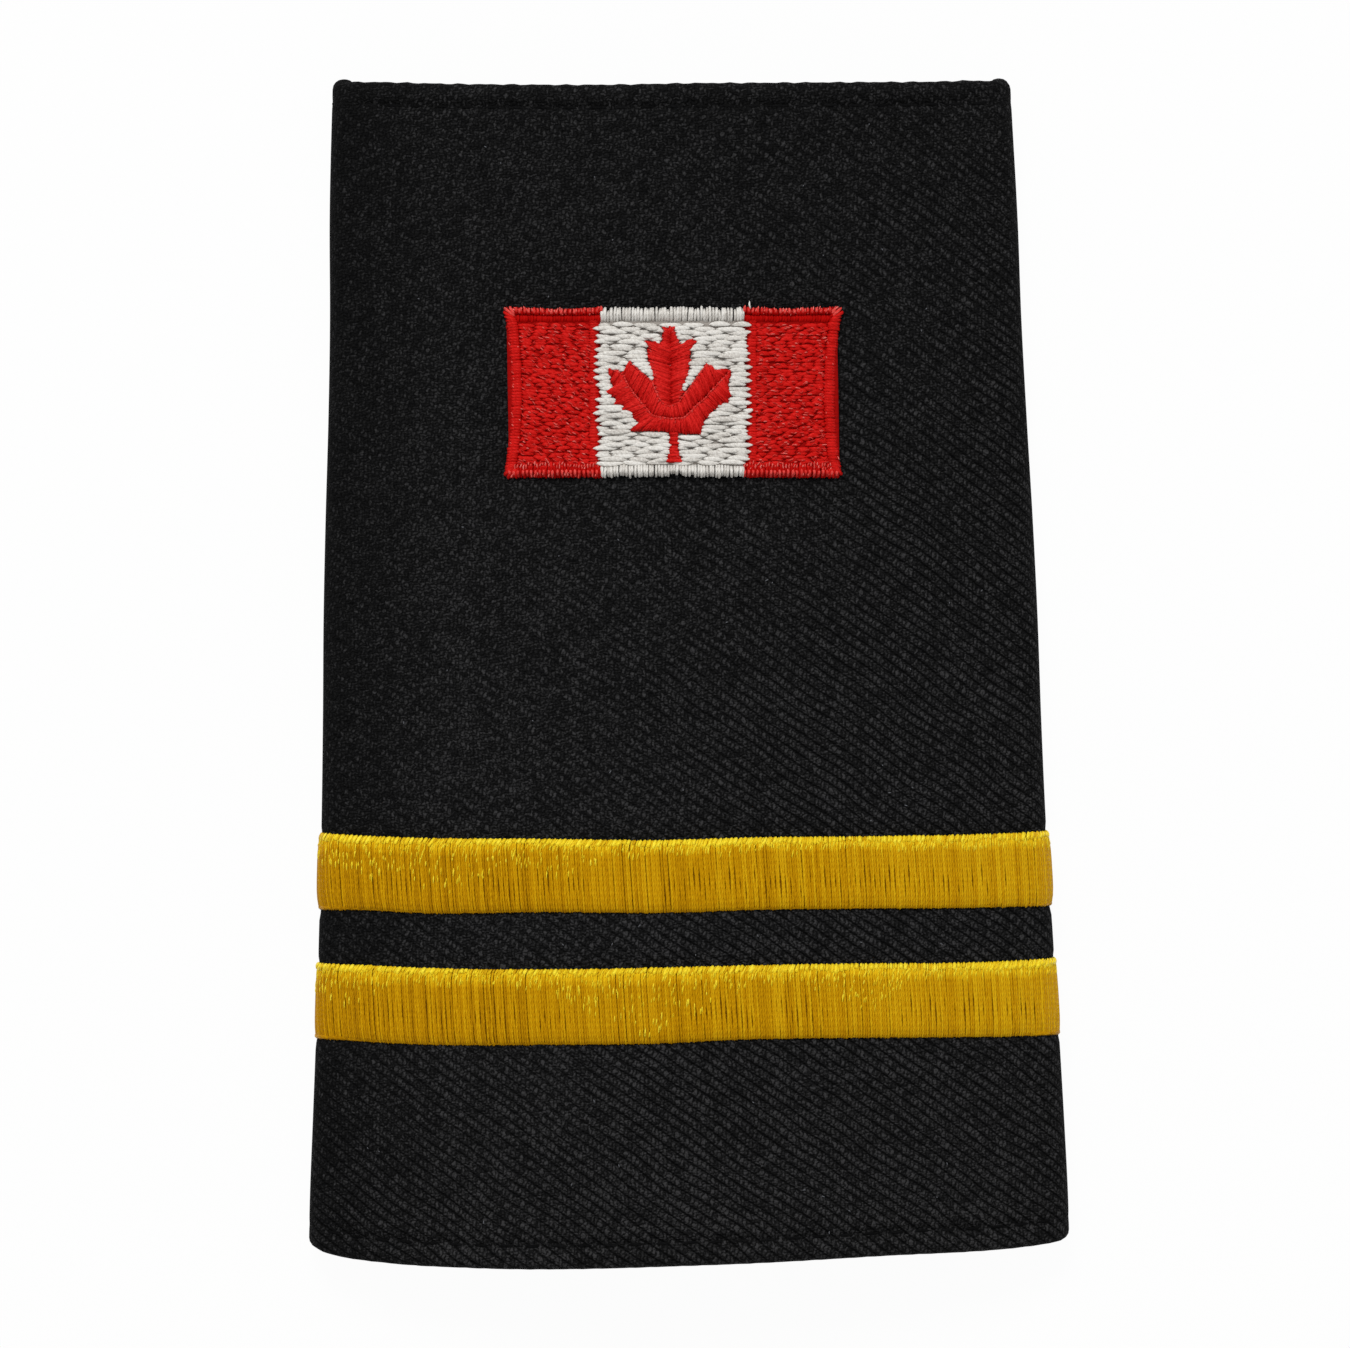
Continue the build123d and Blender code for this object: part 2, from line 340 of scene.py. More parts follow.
def drifting(value, flat):
    """A coordinate that drifts slowly, because yarns run a little askew."""
    return plus(value, times(noise(flat, scale=0.14, detail=1.0), WAVY, -WAVY / 2))


def shaken(drifted, flat, pitch):
    """The drifted coordinate with a quick unevenness too, counted in yarns."""
    shake = noise(flat, scale=2.4, detail=1.0)
    return divided(plus(drifted, times(shake, SHAKEN, -SHAKEN / 2)), pitch)


def float_height(turn, along_middle, across):
    """The height of one set of floats, from how far through its repeat each point is."""
    along = times(rest(turn), REPEAT, -along_middle)
    return times(mound(along, FLOAT_HALF), mound(times(along, -YARN_LEAN, across), YARN_HALF))


def twill_heights(u, v):
    """The heights of the lengthwise and the crosswise floats, a random tone for each float, and a
    value that is 1 in the middle of the line between two ribs."""
    flat, apart = joined(u, v), joined(plus(u, APART), v)
    drift_u, drift_v = drifting(u, flat), drifting(v, apart)
    yarn, pick = shaken(drift_u, flat, YARN_PITCH), shaken(drift_v, apart, PICK_PITCH)
    index, row = whole(yarn), whole(pick)
    lengthwise, crosswise = divided(plus(pick, index), REPEAT), divided(plus(yarn, row), REPEAT)
    over = float_height(lengthwise, 1.0, times(rest(yarn), 1.0, -0.5))
    under = float_height(crosswise, 3.0, times(rest(pick), 1.0, -0.5))
    over_tone = lottery(index, whole(lengthwise))
    under_tone = lottery(whole(crosswise), plus(row, 0.5))
    steady = times(drift_u, 1 / YARN_PITCH, times(drift_v, 1 / PICK_PITCH, -1.5))
    groove = mound(times(rest(divided(steady, REPEAT)), REPEAT, -REPEAT / 2), GROOVE_HALF)
    return over, under, over_tone, under_tone, groove


# %% The twill material
ROUND_TURN = 0.0476  # of a sine that comes back to its start at the back's seam
LEAST_RIBBED, MOST_RIBBED = 0.10, 0.78
# how dark the painted shade on the folds gets
FOLD_SHADE = 0.65
BLACKS = [(0.0, (0.0006, 0.0006, 0.0007)), (0.35, (0.0078, 0.0078, 0.0080)),
          (1.0, (0.040, 0.0395, 0.0405))]


def ribbed_share(u, v, flat):
    """How plain the lines between the ribs are. They are plainest to the right and at the wide end."""
    to_right = times(sine(times(u, ROUND_TURN)), 0.40, times(v, -0.009))
    to_wide_end = times(v, -0.012, -0.33)
    patchy = times(noise(flat, scale=0.12, detail=1.0), 0.5, 0.28)
    return within(plus(most(to_right, to_wide_end), patchy), LEAST_RIBBED, MOST_RIBBED)


def twill_material():
    """Nearly black yarns, painted lighter where their floats rise as a highlight, and black between
    them.
    """
    material, shader = new_material("black_twill", (0.006, 0.006, 0.0065), roughness=0.8, specular=0.02)
    u, v = map_axes(shader, CLOTH_MAP)
    over, under, over_tone, under_tone, groove = twill_heights(u, v)
    flat = joined(u, v)
    ribbed = ribbed_share(u, v, flat)
    below = times(under, 0.90)
    # painted highlight: the raised middle of each float is coloured lighter
    toned = most(times(over, times(over_tone, 0.70, 0.43)), times(below, times(under_tone, 0.70, 0.43)))
    blotch = noise(flat, scale=5.6, detail=0.5, roughness=0.6)
    fuzz = noise(flat, scale=7.0, detail=3.0, roughness=0.7)
    left_fold_shade, right_fold_shade = times(u, 0.030, 1.60), times(u, -0.033, 1.957)
    factors = [
        times(fuzz, 1.6, 0.2),  # loose fibres
        times(noise(flat, scale=0.25), 0.2, 0.90),  # broad unevenness
        # painted shade: the lines between the ribs are coloured darker
        times(times(ribbed, groove), -1.0, 1.0),  # dark lines between the ribs
        times(ribbed, 0.20, 1.0),  # brighter ribs, which make up for those lines
        # painted shade: the cloth is coloured darker towards the narrow end
        times(v, -0.0024, 0.735),  # darker towards the narrow end
        # painted shade: the cloth is coloured darker over both folds
        least(within(left_fold_shade, FOLD_SHADE, 1.0), within(right_fold_shade, FOLD_SHADE, 1.0)),
    ]
    shade = times(blotch, 0.16, times(toned, times(blotch, 1.8, 0.1)))
    coloured(shader, reduce(times, factors, shade), BLACKS)
    bumped(shader, times(fuzz, 0.35, most(over, below)), distance_mm=0.12, strength=0.8)
    shader.inputs["Sheen Weight"].default_value = 0.004
    shader.inputs["Sheen Roughness"].default_value = 0.5
    return material


TWILL = twill_material()
print("made", TWILL.name, "with", len(TWILL.node_tree.nodes), "nodes")

# %% [markdown]
# ## The cloth, folded from a flat sheet
# The real slide is cut flat, hemmed at both ends and folded round until its edges meet down the back.
# The piece below goes the same way. A flat grid is the cut cloth. Each row of the grid gets its place
# along the slide, with more rows where the hems turn in and where the stitching pulls the cloth down,
# and each column its distance round it. Then the grid is folded, and Solidify gives it its thickness.

# %% Rows of the flat cloth, from one hem's raw edge to the other's
HEM_DEPTH = 6.0
RIM_ROUND = 0.855
STITCH_INSET = 2.0
CLOTH_THICK = 0.8
FINE_END = 4.2
COLUMNS_BACK, COLUMNS_FOLD, COLUMNS_ARCH = 20, 12, 112
ROWS_HEM, ROWS_ROUND, ROWS_FINE, ROWS_BETWEEN = 9, 5, 15, 150


def hem_profile():
    """The turned-in end from its raw edge to the outside: inset from the rim, depth below the outer
    face, and the distance along the cloth past the place where the rim starts to round."""
    inside = RIM_ROUND * math.pi + (TWO_PLIES - 2 * RIM_ROUND)
    insets = np.linspace(HEM_DEPTH, RIM_ROUND, ROWS_HEM)[:-1]
    hem = [(inset, TWO_PLIES, inside + inset - RIM_ROUND) for inset in insets]
    bend = [(RIM_ROUND * (1 - math.sin(angle)), RIM_ROUND * (1 - math.cos(angle)), RIM_ROUND * angle)
            for angle in np.linspace(0, math.pi / 2, ROWS_ROUND)]
    under = [(inset, TWO_PLIES - depth, inside - run) for inset, depth, run in bend]
    insets = np.linspace(RIM_ROUND, FINE_END, ROWS_FINE)[1:]
    return hem + under + bend[::-1] + [(inset, 0.0, RIM_ROUND - inset) for inset in insets]


def cloth_rows():
    """All rows: which end they are measured from (-1 wide, 1 narrow, 0 between), inset or share,
    depth and run."""
    end = hem_profile()
    between_ends = [(0, share, 0.0, 0.0) for share in np.linspace(0, 1, ROWS_BETWEEN)[1:-1]]
    return np.array([(-1, *row) for row in end] + between_ends + [(1, *row) for row in end[::-1]])


ROWS = cloth_rows()
END, INSET, DEPTH, RUN = np.hsplit(ROWS, 4)
COLUMNS = 2 * (COLUMNS_BACK + COLUMNS_FOLD) + COLUMNS_ARCH + 1
print("the cloth has", len(ROWS), "rows and", COLUMNS, "columns")


# %% Where each row and column lies
def mirrored(half):
    """The values of the columns on the left and in the middle, and the same again on the right."""
    return np.concatenate([half, half[::-1][1:]])


def column_reach(y):
    """The distance round the cloth of every column, at the y of every row and column."""
    arch_end, fold_end, seam = reaches(y)
    counts = (COLUMNS_BACK, COLUMNS_FOLD, COLUMNS_ARCH // 2)
    zone = mirrored(np.append(np.repeat(["back", "fold", "arch"], counts), "arch"))
    share = [np.linspace(1, 0, count + 1)[:-1] for count in counts]
    share = mirrored(np.concatenate([*share, [0.0]]))
    reach = np.select([zone == "arch", zone == "fold"],
                      [share * arch_end, arch_end + share * (fold_end - arch_end)],
                      fold_end + share * (seam - fold_end))
    return np.where(np.arange(COLUMNS) <= COLUMNS // 2, -1, 1) * reach


def slide_rows(x):
    """The y of every row and column, given the x of each."""
    top, bottom = narrow_rim(x), wide_rim(x)
    y = np.where(END > 0, top - INSET, bottom + INSET)
    low, high = bottom + FINE_END, top - FINE_END
    return np.where(END == 0, low + (high - low) * INSET, y)


def flat_cloth():
    """The distance round, the place along and the x of every point of the cloth."""
    x = np.zeros((len(ROWS), COLUMNS))
    for _ in range(3):
        y = slide_rows(x)
        u = column_reach(y)
        x = wrap(u, y)[..., 0]
    return u, y, x


# %% Where the bars and the flag pull the cloth
BAR_BOXES = [box_mm("bar_upper"), box_mm("bar_lower")]
FLAG_LOW = box_mm("flag_frame_left")[0]
FLAG_HIGH = box_mm("flag_frame_right")[1]
BAR_SLANT, BAR_BOW, BAR_WIDTH = 0.55, 0.12, 6.0
BAR_REACH = 0.6 * WIDE_END
STITCH_LONG = 2.2
GROOVE_DEEP, GROOVE_WIDE = 0.36, 0.36
HEM_SWELLS = dict(inset=[1.1, 3.0], high=[0.08, 0.05], width=[0.55, 0.6])
BAR_PULL, FLAG_PULL, PULL_WIDTH = 0.14, 0.12, 0.5
PULSE = 0.15  # how much the groove's depth varies along a stitch
FADE_INSET, FOLD_FADE, BACK_FADE = 2.0, 2.5, 2.0
FOLD_LOSS, BACK_GAIN = 0.90, 0.50


def bar_line(bar, x):
    """The y of a bar's middle line, which slants a little and sags in its middle."""
    low, high = BAR_BOXES[bar]
    across = np.clip(np.asarray(x, float) / BAR_REACH, -1, 1)
    return (low[1] + high[1]) / 2 + BAR_SLANT / 2 * across - BAR_BOW / 2 * (1 - across**2)


def bell(distance, width):
    """1 at no distance, and nearly 0 past twice the width."""
    return np.exp(-((distance / width) ** 2))


def groove_share(u, y):
    """How much of its depth the hem's groove keeps: all on the front, little on the folds."""
    arch_end, fold_end, _ = reaches(y)
    fold = np.clip((np.abs(u) - arch_end + FADE_INSET) / FOLD_FADE, 0, 1)
    back = np.clip((np.abs(u) - fold_end) / BACK_FADE, 0, 1)
    return 1 - FOLD_LOSS * fold + BACK_GAIN * back


def relief(u, y, x):
    """How far the stitching pulls the cloth down, and how far it swells beside the stitching."""
    height = np.zeros_like(u)
    share = groove_share(u, y)
    arch_end, fold_end, _ = reaches(y)
    on_front = np.abs(u) < arch_end
    pulse = 1 - PULSE + PULSE * np.cos(2 * np.pi * u / STITCH_LONG)
    for inset in (narrow_rim(x) - y, y - wide_rim(x)):
        height -= GROOVE_DEEP * pulse * share * bell(inset - STITCH_INSET, GROOVE_WIDE)
        swell = sum(high * bell(inset - at, width) for at, high, width in zip(*HEM_SWELLS.values()))
        height += np.where(on_front, share, 0) * swell
    for bar in (0, 1):
        gap = np.maximum(np.abs(y - bar_line(bar, x)) - BAR_WIDTH / 2, 0)
        height -= BAR_PULL * bell(gap, PULL_WIDTH) * (np.abs(u) < fold_end)
    middle, half = (FLAG_LOW + FLAG_HIGH) / 2, (FLAG_HIGH - FLAG_LOW) / 2
    beyond = np.maximum(np.abs(x - middle[0]) - half[0], 0)
    above = np.maximum(np.abs(y - middle[1]) - half[1], 0)
    return height - FLAG_PULL * bell(np.hypot(beyond, above), PULL_WIDTH) * on_front


# %% Fold the cloth
SEAM_ROLL = 0.8
SEAM_DEPTH = 0.42
RIPPLE_NARROW, RIPPLE_WIDE, RIPPLE_REACH = 0.055, 0.015, 1.2
FAR_IN = 9.0  # an inset at which nothing is left of the rims' ripples
SCALLOPS = dict(high=[0.6, 0.5], long=[1.55, 2.3], start=[0, 1])


def folded_cloth():
    """Places the points of every row and column, and their map in millimetres."""
    u, y, x = flat_cloth()
    height = np.where(DEPTH < 0.01, relief(u, y, x), -DEPTH)
    waves = zip(*SCALLOPS.values())
    scallops = sum(high * np.sin(2 * np.pi * u / long + start) for high, long, start in waves)
    high = np.where(END > 0, RIPPLE_NARROW, RIPPLE_WIDE)
    y = y + END * high * scallops * bell(np.where(END == 0, FAR_IN, INSET), RIPPLE_REACH)
    roll = np.clip(1 - (reaches(y)[2] - np.abs(u)) / SEAM_ROLL, 0, 1) ** 2
    points = wrap(u, y, height - SEAM_DEPTH * roll)
    start = np.where(END > 0, narrow_rim(x) - RIM_ROUND, wide_rim(x) + RIM_ROUND)
    v = np.where(END == 0, y, start + END * RUN)
    return points, np.stack([u, v], axis=-1)


# %% Make the cloth's mesh
def deselect():
    """Leaves nothing selected."""
    bpy.ops.object.select_all(action="DESELECT")


def only(piece):
    """Makes one object the selected and active one."""
    deselect()
    piece.select_set(True)
    bpy.context.view_layer.objects.active = piece


def finish_piece(piece, slot, *nodes):
    """The piece rides on the slide's one body and stands for its nodes. slot is not used."""
    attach(piece, "root")
    if nodes:
        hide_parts(*nodes)


def write_map(mesh, layer, marks):
    """Gives every corner of a mesh's faces the map values of its point."""
    corner = np.empty(len(mesh.loops), int)
    mesh.loops.foreach_get("vertex_index", corner)
    layer.uv.foreach_set("vector", marks[corner].astype(np.float32).ravel())


def make_cloth(points, marks):
    """Adds a flat grid with a point for each row and column, and folds it."""
    rows, columns = points.shape[:2]
    deselect()
    bpy.ops.mesh.primitive_grid_add(x_subdivisions=columns - 1, y_subdivisions=rows - 1, size=2)
    cloth = bpy.context.active_object
    cloth.name = "sleeve_cloth"
    flat = np.empty(len(cloth.data.vertices) * 3)
    cloth.data.vertices.foreach_get("co", flat)
    flat = flat.reshape(-1, 3)
    column = np.rint((flat[:, 0] + 1) / 2 * (columns - 1)).astype(int)
    row = np.rint((flat[:, 1] + 1) / 2 * (rows - 1)).astype(int)
    cloth.data.vertices.foreach_set("co", (points[row, column] * MM).ravel())
    layer = cloth.data.uv_layers[0]
    layer.name = CLOTH_MAP
    write_map(cloth.data, layer, marks[row, column])
    cloth.data.update()
    return cloth


cloth_points, cloth_marks = folded_cloth()
sleeve_cloth = make_cloth(cloth_points, cloth_marks)
only(sleeve_cloth)
thickness = sleeve_cloth.modifiers.new("thickness", "SOLIDIFY")
thickness.thickness = CLOTH_THICK * MM
thickness.offset = -1
bpy.ops.object.modifier_apply(modifier="thickness")
bpy.ops.object.shade_smooth()
sleeve_cloth.data.materials.append(TWILL)
finish_piece(sleeve_cloth, "black_cloth", "sleeve")
print("the folded cloth has", len(sleeve_cloth.data.polygons), "faces")

# %% [markdown]
# ## One thread, modelled once
# Embroidery is thread and nothing else, so it is built from threads. A long satin stitch and a short
# filling stitch are each modelled by hand once, from a ball that is drawn out into a strand. After
# that they are copied along every stitch of the work. An image of embroidery would stay flat at the
# edges, where the light catches each loop of the real thing.


# %% Model a strand
def take_mesh(piece):
    """A modelled object's points and faces. The object itself is taken out of the scene."""
    points = np.array([vertex.co[:] for vertex in piece.data.vertices])
    faces = [tuple(face.vertices) for face in piece.data.polygons]
    bpy.data.objects.remove(piece)
    return points, faces


def strand(name, sides, rings, plump, tip):
    """A strand one unit long along X, half a unit either side of the origin. plump is how full it is
    near its ends, and tip is the share of its width that it keeps in its last ring."""
    deselect()
    bpy.ops.mesh.primitive_uv_sphere_add(segments=sides, ring_count=rings, radius=0.5,
                                         rotation=(0, math.pi / 2, 0))
    piece = bpy.context.active_object
    piece.name = name
    bpy.ops.object.transform_apply(rotation=True)
    bpy.ops.object.mode_set(mode="EDIT")
    shape = bmesh.from_edit_mesh(piece.data)
    for ring in range(1, rings):
        place = -0.5 * math.cos(math.pi * ring / rings)
        width = math.sin(math.pi * ring / rings)
        wanted = width**plump if 1 < ring < rings - 1 else max(tip, width * 0.6)
        for vertex in shape.verts:
            vertex.select = abs(vertex.co.x - place) < 0.01
        shape.select_flush(True)
        bmesh.update_edit_mesh(piece.data)
        scale = wanted / width
        bpy.ops.transform.resize(value=(1, scale, scale), center_override=(place, 0, 0))
    bpy.ops.object.mode_set(mode="OBJECT")
    points, faces = take_mesh(piece)
    points[:, 2] += 0.5
    return points, faces


SATIN = strand("satin_strand", sides=6, rings=10, plump=0.16, tip=0.62)
GRAIN = strand("filling_strand", sides=6, rings=8, plump=1.0, tip=0.14)
BAND = strand("bar_strand", sides=5, rings=12, plump=0.10, tip=0.95)
LOOP = strand("loop_strand", sides=6, rings=8, plump=0.45, tip=0.45)
FIBRE = strand("loose_fibre", sides=4, rings=6, plump=0.8, tip=0.3)
print("faces a strand:", [len(shape[1]) for shape in (SATIN, GRAIN, BAND, LOOP, FIBRE)])

# %% Copy it along stitches
HOOK_START = 0.87
MARK_SPREAD = 0.8  # how much of a stitch's whole number on the map its width takes up


def sew(template, stitches, width, thick, base, rise, far=None, peak=0.5, power=3.0,
        bow=0.0, at=0.45, spread=0.2, hook=0.0):
    """Lays a strand along each stitch. A stitch is a row of u, y where the needle comes up and u, y
    where it goes down. The strand starts at height base and ends at height far, and between them it
    rises by rise at the share peak of its length. bow pushes it aside round the share at, and hook
    moves its last eighth aside. Each size is one number or one for each stitch."""
    points, faces = template
    stitches = np.asarray(stitches, float)

    def each(value):
        return np.broadcast_to(np.asarray(value, float), len(stitches))[:, None]

    start, end = stitches[:, None, :2], stitches[:, None, 2:4]
    length = np.maximum(np.linalg.norm(end - start, axis=2), 1e-6)
    ahead = (end - start) / length[..., None]
    aside = np.stack([-ahead[..., 1], ahead[..., 0]], axis=-1)
    share = points[None, :, 0] + 0.5
    push = each(bow) * bell(share - each(at), each(spread)) * np.sin(np.pi * share)
    push = push + each(hook) * np.clip((share - HOOK_START) / (1 - HOOK_START), 0, 1)
    off_line = points[None, :, 1] * each(width) + push
    place = start + ahead * (share * length)[..., None] + aside * off_line[..., None]
    slope = np.minimum(share / each(peak), (1 - share) / (1 - each(peak)))
    lift = each(base) * (1 - share) + each(base if far is None else far) * share
    lift = lift + each(rise) * (1 - (1 - np.clip(slope, 0, 1)) ** each(power))
    lift = lift + points[None, :, 2] * each(thick)
    number = np.arange(len(stitches))[:, None]
    marks = np.stack([number + 0.5 + MARK_SPREAD * points[None, :, 1], share * length], axis=-1)
    return place[..., 0], place[..., 1], lift, marks, faces


def slab(low, high, bottom, top, cuts=(24, 24)):
    """A thin closed layer under stitches, from a subdivided block. low and high are u, y corners."""
    deselect()
    bpy.ops.mesh.primitive_grid_add(x_subdivisions=cuts[0], y_subdivisions=cuts[1], size=1)
    piece = bpy.context.active_object
    bpy.ops.object.mode_set(mode="EDIT")
    bpy.ops.mesh.select_all(action="SELECT")
    bpy.ops.mesh.extrude_region_move(TRANSFORM_OT_translate={"value": (0, 0, -1)})
    bpy.ops.object.mode_set(mode="OBJECT")
    points, faces = take_mesh(piece)
    u = low[0] + (points[:, 0] + 0.5) * (high[0] - low[0])
    y = low[1] + (points[:, 1] + 0.5) * (high[1] - low[1])
    lift = top + points[:, 2] * (top - bottom)
    marks = np.stack([np.full_like(y, 0.5), y], axis=-1)
    return u[None], y[None], lift[None], marks[None], faces


# %% Join sewn parts into a piece
THREAD_MAP = "thread"


def embroidered(name, slot, nodes, layers):
    """One piece from layers, each a sewn part and its material. It stands for the nodes."""
    points, faces, marks, kinds, materials = [], [], [], [], []
    count = 0
    for (u, y, lift, mark, shape), material in layers:
        if material not in materials:
            materials.append(material)
        points.append(wrap(u, y, lift).reshape(-1, 3))
        marks.append(mark.reshape(-1, 2))
        for first in range(count, count + u.size, u.shape[1]):
            faces.extend(tuple(first + corner for corner in face) for face in shape)
        kinds.extend([materials.index(material)] * (len(shape) * len(u)))
        count += u.size
    mesh = bpy.data.meshes.new(name)
    mesh.from_pydata(np.concatenate(points) * MM, [], faces)
    write_map(mesh, mesh.uv_layers.new(name=THREAD_MAP), np.concatenate(marks))
    for material in materials:
        mesh.materials.append(material)
    mesh.polygons.foreach_set("material_index", kinds)
    mesh.polygons.foreach_set("use_smooth", [True] * len(faces))
    mesh.update()
    piece = bpy.data.objects.new(name, mesh)
    bpy.context.scene.collection.objects.link(piece)
    finish_piece(piece, slot, *nodes)
    print(name, "has", len(faces), "faces")
    return piece


# %% [markdown]
# ## The finish of thread
# Embroidery thread is a twist of smooth fibres. Each stitch has a tone of its own, painted to stand
# for the light that each catches at its own angle, and fine streaks run along it. The map of a strand
# gives both: its first number counts the stitches, and its second is the distance along the stitch in
# millimetres. The specular tint keeps the shine in the thread's own colour, as light that has been
# inside a dyed fibre is.

# %% Thread materials
TONE, STREAKS, TWIST, FLECKS = 0.26, 0.50, 0.035, 0.5
MIDDLE_STITCH = 180.0


def specks(u, v, across, along):
    """Specks that repeat so often across the stitches and along them, as a number round 0."""
    return minus(noise(joined(times(u, across), times(v, along)), scale=1.0, detail=1.0), 0.5)


def thread_material(name, shadow, middle, bright, shine, roughness, specular, lit=None, grainy=0.0,
                    later=0.0):
    """Thread whose stitches range from the shadow colour through the middle one to the bright one.
    lit makes it brighter past a place along the stitch: the place and the length of the change, in
    millimetres, and its amount. grainy adds specks as small as single fibres. later makes each
    stitch brighter than the one before it, counted from a bar's middle."""
    material, shader = new_material(name, middle, roughness, specular)
    shader.inputs["Specular Tint"].default_value = (*shine, 1)
    u, v = map_axes(shader, THREAD_MAP)
    streaks = noise(joined(times(u, 9.0), times(v, 1.1)), scale=1.0, detail=3.0, roughness=0.6)
    twist = sine(times(v, 15.0, times(rest(u), 7.0)))
    shade = plus(times(lottery(whole(u), 0.0), TONE, 0.04), times(streaks, STREAKS))
    shade = times(specks(u, v, across=3.1, along=2.6), FLECKS, times(twist, TWIST, shade))
    if grainy:
        shade = times(specks(u, v, across=5.0, along=6.5), grainy, shade)
    # lit paints light: the stitch is coloured brighter past a place along it, standing in for the light
    # it catches there
    if lit:
        start, length, amount = lit
        wander = noise(joined(times(u, 0.11), 0.0), scale=1.0)
        past = times(wander, 2.4, times(v, 1 / length, -start / length - 1.2))
        shade = times(within(past, 0.0, 1.0), amount, shade)
    if later:
        shade = times(plus(u, -MIDDLE_STITCH), later, shade)
    coloured(shader, shade, [(0.12, shadow), (0.42, middle), (0.85, bright)])
    bumped(shader, times(twist, 0.35, streaks), distance_mm=0.05, strength=0.6)
    return material


def ground_material(name, colour):
    """A matte material with a grain. The paddings under the stitches show only as dark gaps between
    them, and their colours are set darker than their threads as painted shade.
    """
    material, shader = new_material(name, colour, roughness=0.9, specular=0.05)
    grain = noise(joined(*map_axes(shader, THREAD_MAP)), scale=4.0, detail=3.0)
    coloured(shader, grain, [(0.2, tuple(0.5 * channel for channel in colour)), (0.8, colour)])
    return material


# %% The colours of the threads
# lit paints light on the upper part of each bar stitch, where the thread curves over the edge towards
# the lamp
GOLD = thread_material(
    "gold_thread", (0.33, 0.145, 0.0013), (0.54, 0.265, 0.0022), (0.78, 0.49, 0.009),
    shine=(1.0, 0.75, 0.04), roughness=0.42, specular=0.08, lit=(4.9, 1.0, 0.38), later=0.0007)
# painted highlights: lighter copies of the gold thread for the loops and glint strands along the bars'
# upper edges
GOLD_HIGHLIGHT = thread_material(
    "gold_highlight", (0.66, 0.38, 0.004), (0.88, 0.64, 0.016), (1.00, 0.90, 0.08),
    shine=(1.0, 0.88, 0.15), roughness=0.32, specular=0.4)
GOLD_SOFT_HIGHLIGHT = thread_material(
    "gold_soft_highlight", (0.52, 0.26, 0.0026), (0.70, 0.43, 0.007), (0.92, 0.70, 0.030),
    shine=(1.0, 0.85, 0.12), roughness=0.36, specular=0.25)
RED = thread_material(
    "red_thread", (0.36, 0.0030, 0.0022), (0.54, 0.0065, 0.0052), (0.74, 0.018, 0.015),
    shine=(1.0, 0.25, 0.20), roughness=0.38, specular=0.22, grainy=0.45)
# lit paints light on each leaf stitch past its first millimetre, so that its start, at the crease or a
# band's lower edge, stays darker as painted shade
RED_LEAF = thread_material(
    "leaf_thread", (0.25, 0.0016, 0.0013), (0.44, 0.0044, 0.0036), (0.72, 0.020, 0.017),
    shine=(1.0, 0.25, 0.20), roughness=0.40, specular=0.18, lit=(0.1, 0.9, 0.22), grainy=0.9)
# painted shade: a darker copy of the red thread, for the band under a frame's top ridge, its foot and
# the gaps between the teeth of its head
RED_SHADED = thread_material(
    "red_thread_shaded", (0.26, 0.0012, 0.0010), (0.40, 0.0024, 0.0019), (0.52, 0.0062, 0.0052),
    shine=(1.0, 0.20, 0.15), roughness=0.5, specular=0.12)
# painted glints: bright pink strands that stand for highlights on the red satin
RED_GLINT = thread_material(
    "red_glints", (0.64, 0.026, 0.020), (0.76, 0.090, 0.072), (0.95, 0.36, 0.32),
    shine=(1.0, 0.55, 0.50), roughness=0.30, specular=0.5)
# painted highlight: a lighter copy of the red thread, for the loops at the frames' edges, the lighter
# glints on the fields and the leaf, and the leaf bands' edge lines
RED_HIGHLIGHT = thread_material(
    "red_highlight", (0.52, 0.010, 0.008), (0.66, 0.034, 0.028), (0.84, 0.15, 0.13),
    shine=(1.0, 0.40, 0.35), roughness=0.38, specular=0.25)
WHITE = thread_material(
    "white_thread", (0.46, 0.425, 0.385), (0.68, 0.65, 0.60), (0.86, 0.84, 0.80),
    shine=(1.0, 0.98, 0.95), roughness=0.42, specular=0.30, grainy=0.80)
BLACK = thread_material(
    "black_thread", (0.0010, 0.0010, 0.0011), (0.0032, 0.0032, 0.0034), (0.0085, 0.0085, 0.0090),
    shine=(1.0, 1.0, 1.0), roughness=0.7, specular=0.04)
# The paddings are coloured darker than their threads, as painted shade in the gaps between stitches.
GOLD_PADDING_SHADE = ground_material("gold_padding_shade", (0.30, 0.12, 0.0010))
RED_PADDING_SHADE = ground_material("red_padding_shade", (0.40, 0.0040, 0.0030))
WHITE_PADDING_SHADE = ground_material("white_padding_shade", (0.42, 0.38, 0.34))
LINT = ground_material("pale_lint", (0.16, 0.165, 0.18))

# %% [markdown]
# ## Black stitches in the cloth
# A row of long black stitches holds each hem, two millimetres inside the rim, and pulls a groove into
# the cloth. Short ones close the seam down the back. They are the same strand as everywhere else, but
# laid down in the groove, so they show mostly as a dark line.

# %% Sew the hems and the seam
dice = np.random.default_rng(7)
SEAM_STEP, SEAM_INSET = 2.4, 4.0
SEAM_REACH, SEAM_SLANT = 0.75, 0.45
STITCH_GAP = 0.12


